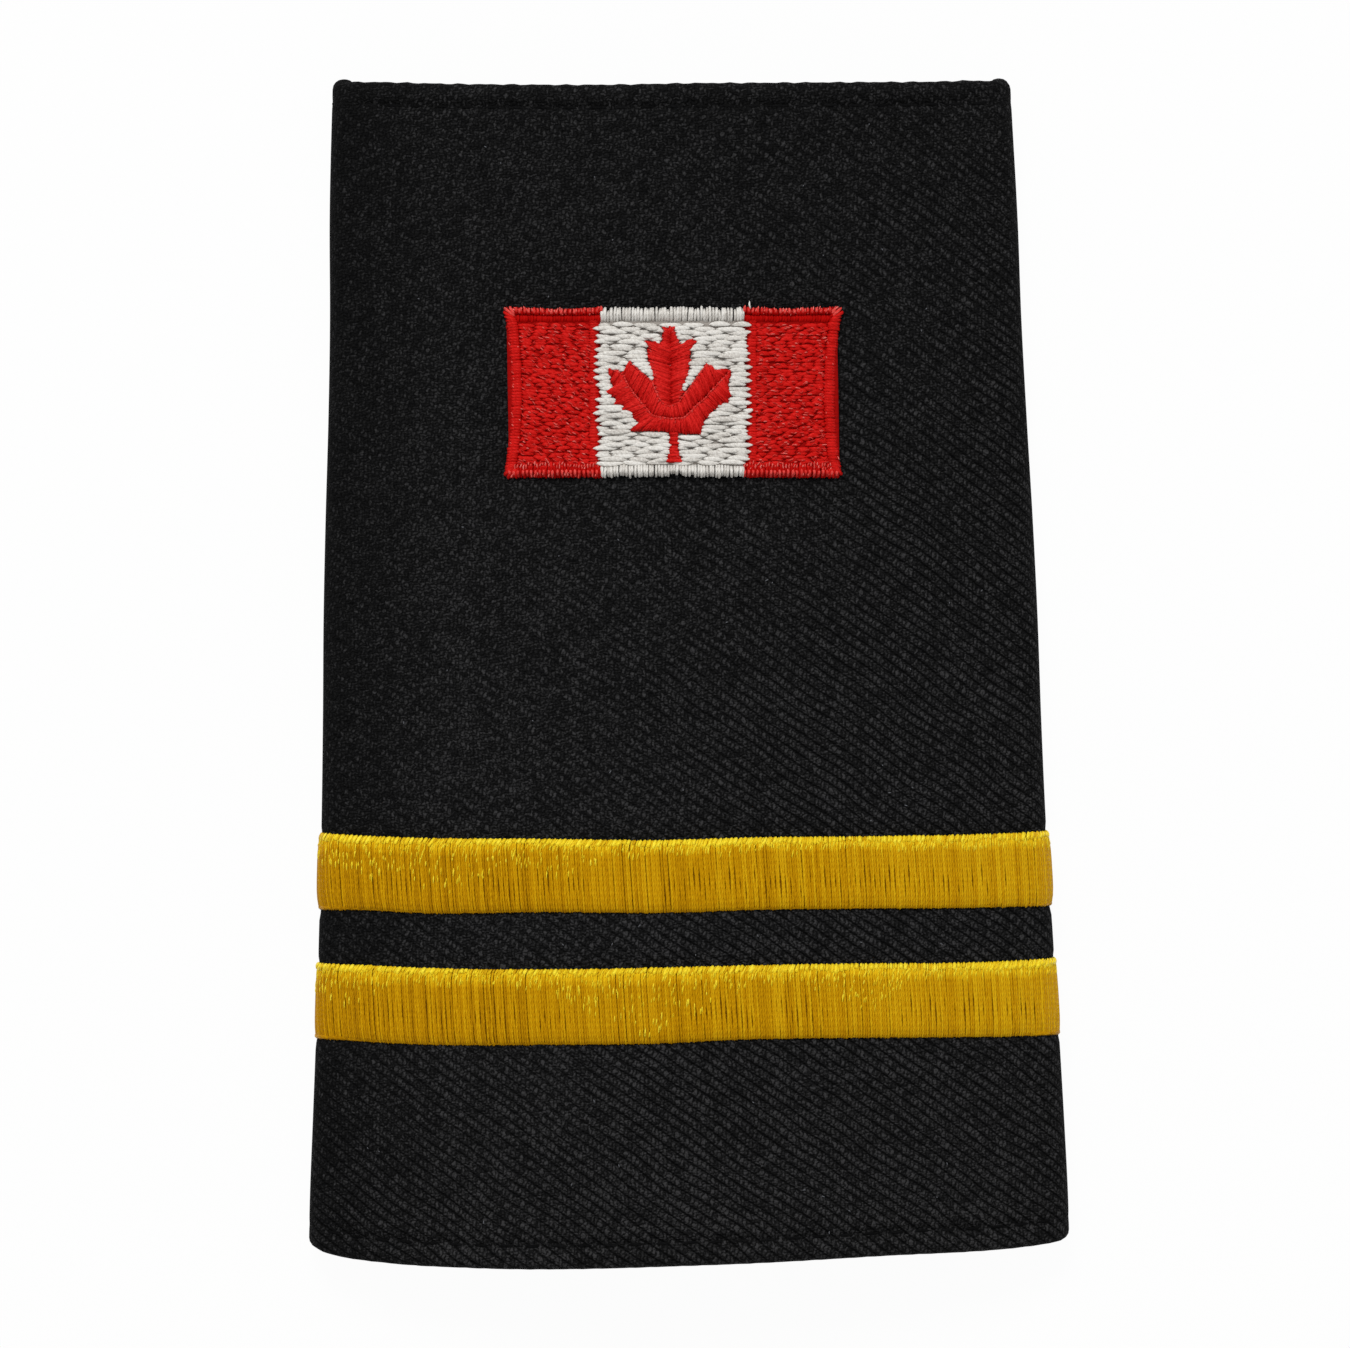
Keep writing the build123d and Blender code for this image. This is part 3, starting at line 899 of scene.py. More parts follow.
def hem_stitches(rim, inset):
    """Stitches all round one end, inset from its rim."""
    last = float(reaches(rim(0.0) + inset)[2])
    ends = np.arange(-last + 0.6, last - 0.4, STITCH_LONG)
    u = np.stack([ends[:-1] + STITCH_GAP, ends[1:] - STITCH_GAP], axis=1)
    y = np.zeros_like(u)
    for _ in range(3):
        y = rim(wrap(u, y)[..., 0]) + inset
    rows = np.stack([u[:, 0], y[:, 0], u[:, 1], y[:, 1]], axis=1)
    rows[:, 1::2] += dice.normal(0, 0.03, (len(rows), 2))
    share = groove_share(u.mean(axis=1), y.mean(axis=1))
    return sew(GRAIN, rows, width=0.34, thick=0.18, base=-0.24 + (0.12 - GROOVE_DEEP) * share,
               rise=0.10, power=2.0)


def seam_stitches():
    """Slanting stitches across the seam down the back."""
    y = np.arange(-LENGTH / 2 + SEAM_INSET, LENGTH / 2 - SEAM_INSET, SEAM_STEP)
    seam = reaches(y)[2]
    rows = np.stack([seam - SEAM_REACH, y - SEAM_SLANT, seam + SEAM_REACH, y + SEAM_SLANT], axis=1)
    return sew(GRAIN, rows, width=0.32, thick=0.16, base=-0.30, rise=0.10, power=2.0)


hems = [hem_stitches(narrow_rim, -STITCH_INSET), hem_stitches(wide_rim, STITCH_INSET)]
hem_thread = embroidered("hem_stitches", "black_cloth", (), [(row, BLACK) for row in hems])
seam_thread = embroidered("seam_stitches", "black_cloth", (), [(seam_stitches(), BLACK)])

# %% [markdown]
# ## Gold bars
# Each bar is one long satin stitch repeated: up one edge, across six millimetres, down the other edge,
# and so on round the whole front, over both folds and a little way onto the back. The padding below
# lifts its middle. Here and there two neighbours part and the padding shows as a slit, coloured dark
# as painted shade. At the upper edge the threads bunch into slanting loops, painted bright as
# highlights.

# %% The bars' edges and where they sparkle
BAR_PITCH = 0.21
BAR_WRAP = 6.0

# Each bar's edges, in millimetres from its middle line, at places across the slide.
BAR_EDGES = [
    dict(
        x=[-31, -27, -23, -11, -3, 5, 13, 25, 31],
        top=[3.50, 3.28, 3.15, 3.03, 2.90, 3.06, 3.06, 3.10, 3.25],
        bottom=[-3.00, -3.02, -3.20, -3.10, -3.20, -3.02, -3.02, -3.13, -3.10],
    ),
    dict(
        x=[-31, -27, -23, -11, -3, 5, 13, 25, 31],
        top=[3.20, 3.10, 2.95, 2.85, 2.97, 3.12, 3.14, 3.05, 3.20],
        bottom=[-3.20, -3.38, -3.52, -3.48, -3.40, -3.10, -3.10, -3.28, -3.32],
    ),
]

# Where the loops and the painted glints reach far down a bar: the middle and half width of each patch
# as x in millimetres, and the share of the bar's height that it reaches.
SPARKLES = [
    dict(x=[-27.0, -20.5, -12.0], half=[4.0, 4.5, 4.0], reach=[0.40, 0.60, 0.34]),
    dict(x=[-29.0, -3.5, 14.0], half=[3.0, 6.5, 3.5], reach=[0.35, 0.68, 0.45]),
]


def clusters(places, scale):
    """A smooth random value from 0 to 1 at each place, the same along a patch of about that scale."""
    knots = dice.random(int(np.ptp(places) / scale) + 3)
    return np.interp((places - places.min()) / scale, np.arange(len(knots)), knots)


def bar_edge(bar, edge, x):
    """The y of a bar's top or bottom edge."""
    return bar_line(bar, x) + smooth(BAR_EDGES[bar], edge, x)


def patch_reach(bar, x):
    """How far down a bar the sparkling patches reach at x, in millimetres."""
    reach = np.zeros_like(x)
    for middle, half, share in zip(*SPARKLES[bar].values()):
        reach = np.maximum(reach, share * BAR_WIDTH * bell(x - middle, half))
    return reach


def upright(u, low, high, lean=0.0):
    """Stitches from low to high at places round the slide. lean moves their ends apart round it."""
    return np.stack([u - lean, low, u + lean, high], axis=1)


# %% How high a bar stands
SATIN_LOW, SATIN_THICK = -0.12, 0.13
PAD_HIGH = 0.46
FOLD_SINKS = (0.16, 0.30)
FOLD_X, FOLD_BLEND = 27.5, 3.0
LONGEST_PATCH = 3.2
EDGE_INSET = 0.15
LOOPS_SINK, GLINT_STRANDS_SINK, PADDING_SINKS = 0.09, 0.06, 0.19


def on_fold(x):
    """0 on the front, rising to 1 on the folds."""
    return np.clip((np.abs(x) - FOLD_X) / FOLD_BLEND, 0, 1)


def padded(bar, x):
    """How high the padding lifts a bar: less on the folds, where the threads are pulled tight."""
    return PAD_HIGH - FOLD_SINKS[bar] * on_fold(x)


def steepness(x):
    """How steeply the stitches rise from the bar's edges: less on the folds."""
    return 7.0 - 3.0 * on_fold(x)


def satin_top(bar, depth, x):
    """How high the long stitches stand at a depth below a bar's edge."""
    slope = np.clip(depth / (BAR_WIDTH / 2 + EDGE_INSET), 0, 1)
    return SATIN_LOW + SATIN_THICK + padded(bar, x) * (1 - (1 - slope) ** steepness(x))


# %% The loops and painted glints along a bar's upper edge
def bar_fringe(bar, u, x):
    """The small loops along the bar's upper edge, where the stitches turn back, as two layers: loops
    that lie flat, painted with a softer highlight, most of them to the left, and loops painted with a
    bright highlight, every second of them thick."""
    top = bar_edge(bar, "top", x)
    long = 0.36 + 0.36 * clusters(u, 2.2) + dice.normal(0, 0.08, len(u))
    slant = 0.06 + 0.28 * clusters(u, 3.0)
    dull = np.clip(1.5 - 2.4 * clusters(u, 4.0), 0.1, 0.9) * np.interp(x, (-25, -14), (1.0, 0.35))
    flat = dice.random(len(u)) < dull
    thick = np.arange(len(u)) % 2 * np.where(flat, 0.35, dice.uniform(0.6, 1.1, len(u)))
    u = u + dice.normal(0, 0.025, len(u))
    rows = upright(u, top - long, top + 0.01 + 0.05 * thick, slant * long)
    low = satin_top(bar, long, x) - LOOPS_SINK
    wide = dice.uniform(0.14, 0.20, len(u)) + 0.17 * thick
    layers = []
    for these, thread in ((flat, GOLD_SOFT_HIGHLIGHT), (~flat, GOLD_HIGHLIGHT)):
        high = thick[these]
        loops = sew(LOOP, rows[these], width=wide[these], thick=0.10 + 0.05 * high, base=low[these],
                    rise=0.08 + 0.04 * high, far=-0.10, peak=0.55, power=2.0)
        layers.append((loops, thread))
    return layers


def bar_sparkle(bar, u, x):
    """Slanting strands painted as bright glints below the loops: many near the edge, and more where the
    patches are.
    """
    u, x = np.repeat(u, 3), np.repeat(x, 3)
    patch = patch_reach(bar, x)
    reach = 0.40 + 0.85 * clusters(u, 1.9) + patch
    depth = reach * dice.random(len(u)) ** 1.4
    kept = dice.random(len(u)) < (0.70 + 0.10 * patch) * (1 - 0.6 * depth / BAR_WIDTH)
    u, x, depth = u[kept], x[kept], 0.30 + depth[kept]
    u = u + dice.normal(0, 0.1, len(u))
    middle = bar_edge(bar, "top", x) - depth
    long = dice.uniform(0.30, 0.85, len(u))
    slant = 0.45 * clusters(u, 2.5) + dice.normal(0, 0.07, len(u))
    slant = slant * np.clip(1.3 - 0.5 * depth, 0.3, 1) * long
    rows = upright(u, middle - long / 2, middle + long / 2, slant / 2)
    low = satin_top(bar, depth + long / 2, x) - GLINT_STRANDS_SINK
    far = satin_top(bar, np.maximum(depth - long / 2, 0), x) - GLINT_STRANDS_SINK
    return sew(FIBRE, rows, width=dice.uniform(0.09, 0.15, len(u)), thick=0.08, base=low, rise=0.03,
               far=far, power=2.0)


# %% The long stitches and what lies under them
def bar_satin(bar, u, x):
    """The long stitches. Many pairs of neighbours are parted over a stretch below the middle."""
    bottom = bar_edge(bar, "bottom", x) + dice.normal(0, 0.03, len(u))
    top = bar_edge(bar, "top", x) + dice.normal(0, 0.03, len(u))
    pair = np.arange(len(u)) // 2
    pairs = pair[-1] + 1
    open_here = clusters(u, 2.6)[::2][:pairs] > 0.22
    in_patch = patch_reach(bar, x)[::2][:pairs] >= LONGEST_PATCH
    opened = open_here & (dice.random(pairs) < 0.88) & ~in_patch
    parting = np.where(opened, dice.uniform(0.030, 0.075, pairs), dice.uniform(0, 0.025, pairs))
    parting = parting * np.interp(x[::2][:pairs], (-28, -12), (0.6, 1.0))
    at, spread = dice.uniform(0.24, 0.48, pairs), dice.uniform(0.08, 0.16, pairs)
    side = np.where(np.arange(len(u)) % 2 == 0, 1, -1)
    rows = np.stack([u + 0.16, bottom, u - 0.14, top], axis=1)
    return sew(BAND, rows, width=BAR_PITCH * dice.uniform(1.10, 1.42, len(u)), thick=SATIN_THICK,
               base=SATIN_LOW, rise=padded(bar, x), power=steepness(x), bow=side * parting[pair],
               at=at[pair], spread=spread[pair], hook=-0.14)


def bar_edge_run(bar, u, x):
    """Stitches along the lower edge, under the long ones, which keep that edge clean."""
    every = slice(0, None, 8)
    u, y = u[every], bar_edge(bar, "bottom", x[every]) + 0.24
    rows = np.stack([u[:-1] - 0.1, y[:-1], u[1:] + 0.1, y[1:]], axis=1)
    return sew(SATIN, rows, width=0.34, thick=0.16, base=-0.12, rise=0.08)


def bar_padding(bar, last, middle_y):
    """The layer just under the long stitches, which shows in the slits between them, coloured brown
    as painted shade.
    """
    edge = BAR_WIDTH / 2 - EDGE_INSET
    low, high = (-last, middle_y - edge), (last, middle_y + edge)
    u, y, lift, marks, faces = slab(low, high, bottom=-0.1, top=0.1, cuts=(220, 10))
    x = wrap(u, y)[..., 0]
    depth = edge - np.abs(y - middle_y)
    lift = np.where(lift > 0, np.maximum(satin_top(bar, depth, x) - PADDING_SINKS, 0), lift)
    return u, y + bar_line(bar, x) - middle_y, lift, marks, faces


# %% Sew the bars
def bar_layers(bar):
    """A bar's padding, coloured dark as painted shade, its satin stitches, and the loops and glint
    strands on top of them, painted bright as highlights.
    """
    low, high = BAR_BOXES[bar]
    middle_y = (low[1] + high[1]) / 2
    last = float(reaches(middle_y)[1]) + BAR_WRAP
    u = np.arange(-last + BAR_PITCH / 2, last, BAR_PITCH)
    u = u + dice.normal(0, 0.02, len(u))
    x = wrap(u, middle_y)[:, 0]
    return [(bar_padding(bar, last, middle_y), GOLD_PADDING_SHADE), (bar_edge_run(bar, u, x), GOLD),
            (bar_satin(bar, u, x), GOLD), *bar_fringe(bar, u, x),
            (bar_sparkle(bar, u, x), GOLD_HIGHLIGHT)]


for bar, end in enumerate(("upper", "lower")):
    embroidered(f"embroidered_bar_{end}", "gold_thread", [f"bar_{end}"], bar_layers(bar))

# %% [markdown]
# ## The flag's satin edges
# The flag's outer thirds are framed in red satin and its middle third is edged in white. A satin
# stitch between two edges only needs the edges: a short table gives the stitch at each corner, and
# the stitches between follow by even steps.


# %% Stitches between listed ones
def between(table, pitch, jitter=0.03):
    """Even steps between the listed stitches. Each row is x, y of one end and x, y of the other."""
    table = np.asarray(table, float)
    rows = []
    for first, second in zip(table, table[1:]):
        gap = (np.linalg.norm(first[:2] - second[:2]) + np.linalg.norm(first[2:] - second[2:])) / 2
        steps = max(int(round(gap / pitch)), 1)
        rows.extend(first + (second - first) * step / steps for step in range(steps))
    rows = np.array(rows + [table[-1]])
    return rows + dice.normal(0, jitter, rows.shape)


def on_front(rows):
    """Turns the x of both ends of each stitch into the distance round the cloth."""
    rows = np.array(rows, float)[:, :4]
    for end in (0, 2):
        rows[:, end] = round_to(rows[:, end], rows[:, end + 1])
    return rows


def glints(rows, part, long, chance, slant=0.25):
    """Short strands painted as glints, which lie on some of the stitches, within a part of their length.
    """
    rows = rows[dice.random(len(rows)) < chance]
    share = dice.uniform(*part, len(rows))[:, None]
    middle = rows[:, :2] * (1 - share) + rows[:, 2:] * share
    along = rows[:, 2:] - rows[:, :2]
    turn = np.arctan2(along[:, 1], along[:, 0]) - dice.normal(slant, 0.2, len(rows))
    half = long * dice.uniform(0.3, 0.6, len(rows))
    step = np.stack([np.cos(turn), np.sin(turn)], axis=1) * half[:, None]
    return np.concatenate([middle - step, middle + step], axis=1)


# %% Places on the flag
MIDDLE_LOW, MIDDLE_HIGH = box_mm("flag_edge_top")
FLAG_TOP, FLAG_BOTTOM = FLAG_HIGH[1], FLAG_LOW[1]
FLAG_LEFT, FLAG_RIGHT = FLAG_LOW[0], FLAG_HIGH[0]
WHITE_LEFT, WHITE_RIGHT = MIDDLE_LOW[0], MIDDLE_HIGH[0]
EDGE_TOP = FLAG_TOP - 1.4
EDGE_BOTTOM = FLAG_BOTTOM + 1.2
WAIST = 0.62
COLUMN = 1.05
RIDGE = 0.62
FRAME_PITCH, TOOTH_PITCH, EDGE_PITCH = 0.23, 0.37, 0.25
HEAD_FROM = FLAG_TOP - 0.3
COLUMN_STEPS = 9
STRAY_X = 5.1
print("the flag is", round(FLAG_RIGHT - FLAG_LEFT, 2), "by", round(FLAG_TOP - FLAG_BOTTOM, 2), "mm")


def pulled_in(y):
    """How far the flag's side is pulled in at a height."""
    share = (y - FLAG_BOTTOM) / (FLAG_TOP - FLAG_BOTTOM)
    return WAIST * 4 * share * (1 - share)


def third(side):
    """The x of an outer third's outer and inner side. side is -1 on the left and 1 on the right."""
    return (FLAG_RIGHT, WHITE_RIGHT) if side > 0 else (FLAG_LEFT, WHITE_LEFT)


# %% The border of a red frame
def border_table(side):
    """The border of one outer third, from the middle of its bottom edge up its outer side and along
    its top edge: x, y of the outer end of a stitch and of its inner end."""
    outer, inner = third(side)
    inside = outer - side * COLUMN
    foot = [(outer - side * 1.1, FLAG_BOTTOM, inside - side * 0.1, EDGE_BOTTOM - 0.3),
            (outer - side * 0.35, FLAG_BOTTOM, inside, EDGE_BOTTOM - 0.25),
            (outer - side * 0.05, FLAG_BOTTOM + 0.25, inside, EDGE_BOTTOM - 0.15)]
    heights = np.linspace(EDGE_BOTTOM, EDGE_TOP, COLUMN_STEPS)
    column = [(outer - side * pulled_in(y), y, inside - side * pulled_in(y), y + 0.05) for y in heights]
    head = [(outer, FLAG_TOP - 0.35, inside, FLAG_TOP - 1.0),
            (outer - side * 0.10, FLAG_TOP - 0.02, inside, FLAG_TOP - 0.85),
            (outer - side * 0.55, FLAG_TOP + 0.08, inside, FLAG_TOP - 0.72),
            (outer - side * 1.10, FLAG_TOP, inside - side * 0.1, FLAG_TOP - RIDGE)]
    middle = (outer + inner) / 2
    top = [(middle, FLAG_TOP - 0.16, middle, FLAG_TOP - RIDGE - 0.12),
           (inner + side * 0.7, FLAG_TOP - 0.10, inner + side * 0.7, FLAG_TOP - RIDGE - 0.1),
           (inner, FLAG_TOP + 0.04, inner, FLAG_TOP - RIDGE)]
    return foot + column + head + top


def level_rows(side, low, high, pitch=FRAME_PITCH):
    """Upright stitches along an outer third, between two heights."""
    outer, inner = third(side)
    start = outer - side * 0.6
    return between([(start, low, start, high), (inner, low, inner, high)], pitch)


# %% The layers of a red frame
def satin(rows, thread, width, thick, base, rise, **shape):
    """A layer of satin stitches on the flag, from their ends as seen from the front."""
    return sew(SATIN, on_front(rows), width, thick, base, rise, **shape), thread


def teeth(rows, width, thick, base, rise, **shape):
    """A layer of loops at the ends of satin stitches, painted bright as highlights."""
    return sew(LOOP, on_front(rows), width, thick, base, rise, far=0.22, **shape), RED_HIGHLIGHT


def frame_layers(side):
    """The red satin frame of one outer third."""
    inner = third(side)[1]
    border = between(border_table(side), FRAME_PITCH)
    column = between([(inner + side * COLUMN, y, inner - side * 0.1, y)
                      for y in (EDGE_BOTTOM - 0.2, EDGE_TOP + 0.2)], FRAME_PITCH)
    band = level_rows(side, EDGE_TOP, FLAG_TOP - RIDGE + 0.15)
    foot = level_rows(side, FLAG_BOTTOM, EDGE_BOTTOM - 0.1)
    lip = level_rows(side, EDGE_BOTTOM - 0.42, EDGE_BOTTOM + 0.08)
    upper = border[:, 1] > HEAD_FROM
    head_teeth = between(border_table(side), TOOTH_PITCH)
    head_teeth = head_teeth[head_teeth[:, 1] > HEAD_FROM] + (0, 0.03, 0, 0.10)
    foot_teeth = level_rows(side, FLAG_BOTTOM + 0.04, EDGE_BOTTOM - 0.36, TOOTH_PITCH)
    # The band under the top ridge, the foot and the head are sewn in the red that is painted with shade,
    # and the loops at the ends in the red that is painted with highlights.
    parts = [satin(column, RED, width=0.31, thick=0.15, base=0.14, rise=0.14, far=-0.14, power=2.0),
             satin(band, RED_SHADED, width=0.31, thick=0.14, base=0.00, rise=0.26, power=1.6),
             satin(foot, RED_SHADED, width=0.27, thick=0.15, base=-0.06, rise=0.42, far=0.10, power=1.8),
             satin(border[~upper], RED, width=0.31, thick=0.16, base=-0.08, rise=0.40, far=0.16),
             satin(border[upper], RED_SHADED, width=0.25, thick=0.16, base=-0.08, rise=0.36, far=0.16),
             teeth(head_teeth, width=0.25, thick=0.15, base=0.00, rise=0.38),
             satin(lip, RED, width=0.27, thick=0.13, base=0.30, rise=0.10, far=0.10),
             teeth(foot_teeth, width=0.24, thick=0.13, base=0.04, rise=0.40, power=1.8)]
    head = border[upper]
    ridge = [glints(head, part, long=0.46, chance=0.6, slant=0.15 * side)
             for part in ((0.12, 0.40), (0.35, 0.70))]
    sides = border[border[:, 1] < EDGE_TOP]
    sides = glints(sides, part=(0.15, 0.85), long=0.36, chance=0.45, slant=0.9)
    lower = [glints(foot, part=(0.15, 0.9), long=0.46, chance=0.75, slant=0.1),
             glints(lip, part=(0.3, 0.9), long=0.36, chance=0.95, slant=0.2)]
    shine = on_front(np.concatenate([*ridge, sides, *lower]))
    wide = dice.uniform(0.08, 0.15, len(shine))
    # strands on the ridge, the sides and the foot, painted bright as glints
    fibres = sew(FIBRE, shine, width=wide, thick=0.07, base=0.44, rise=0.05)
    return [*parts, (fibres, RED_GLINT)]


# %% The white edges, and all of it sewn
def edge_layers(inside, outside):
    """A white satin edge of the middle third, whose outer ends are uneven."""
    rows = between([(x, inside, x, outside) for x in (WHITE_LEFT + 0.1, WHITE_RIGHT - 0.1)],
                   EDGE_PITCH, jitter=0.04)
    outward = np.sign(outside - inside)
    rows[:, 3] -= outward * np.where(dice.random(len(rows)) < 0.3, 0.32, 0.08) * dice.random(len(rows))
    wide = dice.uniform(0.22, 0.31, len(rows))
    return [satin(rows, WHITE, width=wide, thick=0.16, base=-0.05, rise=0.56, peak=0.60, power=2.2)]


def stray_end():
    """A single end of white thread that stands up past the top edge."""
    rows = on_front([(STRAY_X, FLAG_TOP - 0.3, STRAY_X - 0.06, FLAG_TOP + 0.48)])
    return sew(GRAIN, rows, width=0.16, thick=0.12, base=0.30, rise=0.20, bow=0.06, at=0.6), WHITE


SIDES = (("left", -1), ("right", 1))
for name, side in SIDES:
    embroidered(f"embroidered_frame_{name}", "red_thread", [f"flag_frame_{name}"], frame_layers(side))
embroidered("embroidered_edge_top", "white_thread", ["flag_edge_top"],
            [*edge_layers(EDGE_TOP, FLAG_TOP), stray_end()])
embroidered("embroidered_edge_bottom", "white_thread", ["flag_edge_bottom"],
            edge_layers(EDGE_BOTTOM, FLAG_BOTTOM))

# %% [markdown]
# ## Filled fields
# A filled field is rows of running stitches laid side by side. Each row dips into the cloth half a
# stitch away from where its neighbour does, so the stitches bed together like bricks, and small dark
# gaps are left where their tips meet. In the middle field the rows stop at the leaf and start again
# past it, so the rows need the leaf's outline first.

# %% The leaf's outline, in millimetres from its middle
LEAF_MIDDLE = (-1.52, 23.03)
LEAF_OUTLINE = [
    (-0.62, 5.54), (0.29, 5.54), (0.67, 4.45), (1.10, 4.11), (1.86, 4.64), (2.25, 4.45),
    (1.77, 3.97), (1.67, 2.82), (1.48, 1.67), (1.19, 1.10), (0.91, 0.19), (1.86, 1.10),
    (2.96, 2.58), (3.30, 2.44), (3.39, 2.01), (4.88, 2.01), (4.78, 0.43), (5.02, -0.05),
    (4.78, -0.72), (4.25, -0.86), (3.78, -1.19), (3.11, -1.86), (2.72, -2.44), (2.53, -3.35),
    (0.72, -3.35), (0.64, -4.06), (0.68, -4.80), (0.95, -5.54), (-0.42, -5.54), (-0.14, -4.80),
    (-0.14, -3.11), (-1.00, -3.11), (-3.30, -3.06), (-2.63, -2.39), (-3.01, -2.06), (-3.39, -1.39),
    (-4.06, -1.29), (-3.78, -1.00), (-4.78, -0.81), (-4.54, -0.33), (-5.54, 0.10), (-4.73, 0.33),
    (-4.92, 1.10), (-5.02, 2.10), (-3.63, 1.86), (-3.39, 2.72), (-2.34, 1.86), (-1.43, 1.19),
    (-1.77, 2.44), (-1.96, 3.20), (-2.06, 4.45), (-1.39, 4.40), (-1.15, 3.97), (-0.81, 4.25),
]
LEAF_TOOTH, SIDE_TOOTH, RED_TOOTH = 0.14, 0.50, 0.15
SHORTEST_ROW = 0.16


def open_spans(low, high, y):
    """The stretches of a row from low to high, at height y, that the leaf leaves open."""
    outline = np.array(LEAF_OUTLINE) + LEAF_MIDDLE
    following = np.roll(outline, -1, axis=0)
    crossed = (outline[:, 1] > y) != (following[:, 1] > y)
    first, second = outline[crossed], following[crossed]
    rise = (y - first[:, 1]) / (second[:, 1] - first[:, 1])
    cuts = np.sort(first[:, 0] + rise * (second[:, 0] - first[:, 0]))
    marks = [low, *cuts, high]
    return list(zip(marks[0::2], marks[1::2]))


def white_spans(y):
    """The middle field's open stretches at a height, each with the overlap at its left and right."""
    spans = open_spans(WHITE_LEFT, WHITE_RIGHT, y)
    overlaps = [SIDE_TOOTH, *[LEAF_TOOTH] * (2 * len(spans) - 2), SIDE_TOOTH]
    return [(*span, *overlaps[2 * k : 2 * k + 2]) for k, span in enumerate(spans)]


# %% Rows of filling stitches
def filling(spans_at, pitch, length, shortest):
    """Rows of stitches between the flag's top and bottom edges. Each stitch also says, as 1 or 0,
    whether its left and its right end lie on the rim of a stretch."""
    rows = []
    for number, y in enumerate(np.arange(EDGE_BOTTOM + 0.05, EDGE_TOP + 0.1, pitch)):
        phase = length * 0.5 * (number % 2) + dice.normal(0, 0.3)
        far_out = (0.45, 1.25) if number % 2 else (1.15, 0.40)
        for left, right, left_tooth, right_tooth in spans_at(y):
            left = left - left_tooth * far_out[0] * dice.uniform(0.7, 1.2)
            right = right + right_tooth * far_out[1] * dice.uniform(0.7, 1.2)
            if right - left < SHORTEST_ROW:
                continue
            first = math.ceil((left + shortest - phase) / length)
            inner = phase + length * np.arange(first, first + 12)
            marks = [left, *inner[inner < right - shortest], right]
            for a, b in zip(marks, marks[1:]):
                rows.append((a, y, b, y, float(a == left), float(b == right)))
    rows = np.array(rows)
    rows[:, :4] += dice.normal(0, 0.035, (len(rows), 4)) * (2.4, 1, 2.4, 1)
    return rows


def padding(left, right, low, high, top):
    """The layer under a field, between two places seen from the front."""
    left, right = (float(round_to(x, (low + high) / 2)) for x in (left, right))
    return slab((left, low), (right, high), bottom=-0.1, top=top)


# %% Sew the fields
def white_field():
    """The middle field round the leaf, whose tips reach over the red columns on both sides."""
    rows = filling(white_spans, pitch=0.295, length=2.0, shortest=0.8)
    long = np.minimum(rows[:, 2] - rows[:, 0], 1.6) / 1.6
    wide = np.minimum(0.33 + 0.14 * long, 0.08 + 0.88 * long)
    grains = sew(GRAIN, on_front(rows), width=wide, thick=0.15, base=0.20 + 0.18 * rows[:, 4],
                 rise=0.06 + 0.08 * long, far=0.20 + 0.18 * rows[:, 5], power=2.0,
                 bow=dice.normal(0, 0.07, len(rows)), at=0.5, spread=0.5)
    ground = padding(WHITE_LEFT, WHITE_RIGHT, EDGE_BOTTOM - 0.2, EDGE_TOP + 0.2, top=0.24)
    return [(ground, WHITE_PADDING_SHADE), (grains, WHITE)]


def red_field(side):
    """The field inside a red frame, with strands on it that are painted as glints."""
    outer, inner = third(side)
    slant = 0.40 if side < 0 else 0.1

    def spans(y):
        ends = (outer - side * (COLUMN + pulled_in(y)), inner + side * COLUMN)
        return [(min(ends), max(ends), RED_TOOTH, RED_TOOTH)]

    rows = filling(spans, pitch=0.25, length=1.15, shortest=0.4)
    rows[:, 1] -= 0.03 * side
    rows[:, 3] += 0.03 * side
    grains = sew(GRAIN, on_front(rows), width=dice.uniform(0.34, 0.46, len(rows)), thick=0.13,
                 base=0.17, rise=dice.uniform(0.04, 0.12, len(rows)), power=2.0,
                 bow=dice.normal(0.02, 0.08, len(rows)), at=0.5, spread=0.5)
    shine = on_front(glints(rows[:, :4], (0.1, 0.9), long=0.46, chance=0.75, slant=slant))
    fibres = sew(FIBRE, shine, width=dice.uniform(0.07, 0.14, len(shine)), thick=0.06, base=0.37,
                 rise=0.05, bow=dice.normal(0, 0.08, len(shine)), at=0.5, spread=0.5)
    flashes = on_front(glints(rows[:, :4], (0.1, 0.9), long=0.40, chance=0.33, slant=slant))
    flashes = sew(FIBRE, flashes, width=0.10, thick=0.06, base=0.38, rise=0.05)
    left, right = sorted((outer - side * 0.4, inner))
    ground = padding(left, right, FLAG_BOTTOM + 0.25, FLAG_TOP - 0.25, top=0.20)
    return [(ground, RED_PADDING_SHADE), (grains, RED), (fibres, RED_HIGHLIGHT), (flashes, RED_GLINT)]


for name, side in SIDES:
    embroidered(f"embroidered_field_{name}", "red_thread", [f"flag_field_{name}"], red_field(side))
embroidered("embroidered_field_middle", "white_thread", ["flag_field_middle"], white_field())

# %% [markdown]
# ## The leaf
# The leaf is not filled in rows. It is satin again, in five parts that follow how it grows: the two
# halves of its upper lobe with a crease between them, two bands that run down from one side's points
# and up to the other's, and the stem. The lower band overlaps the upper one, and the upper one the
# lobe, and each band has a painted highlight along its upper edge.

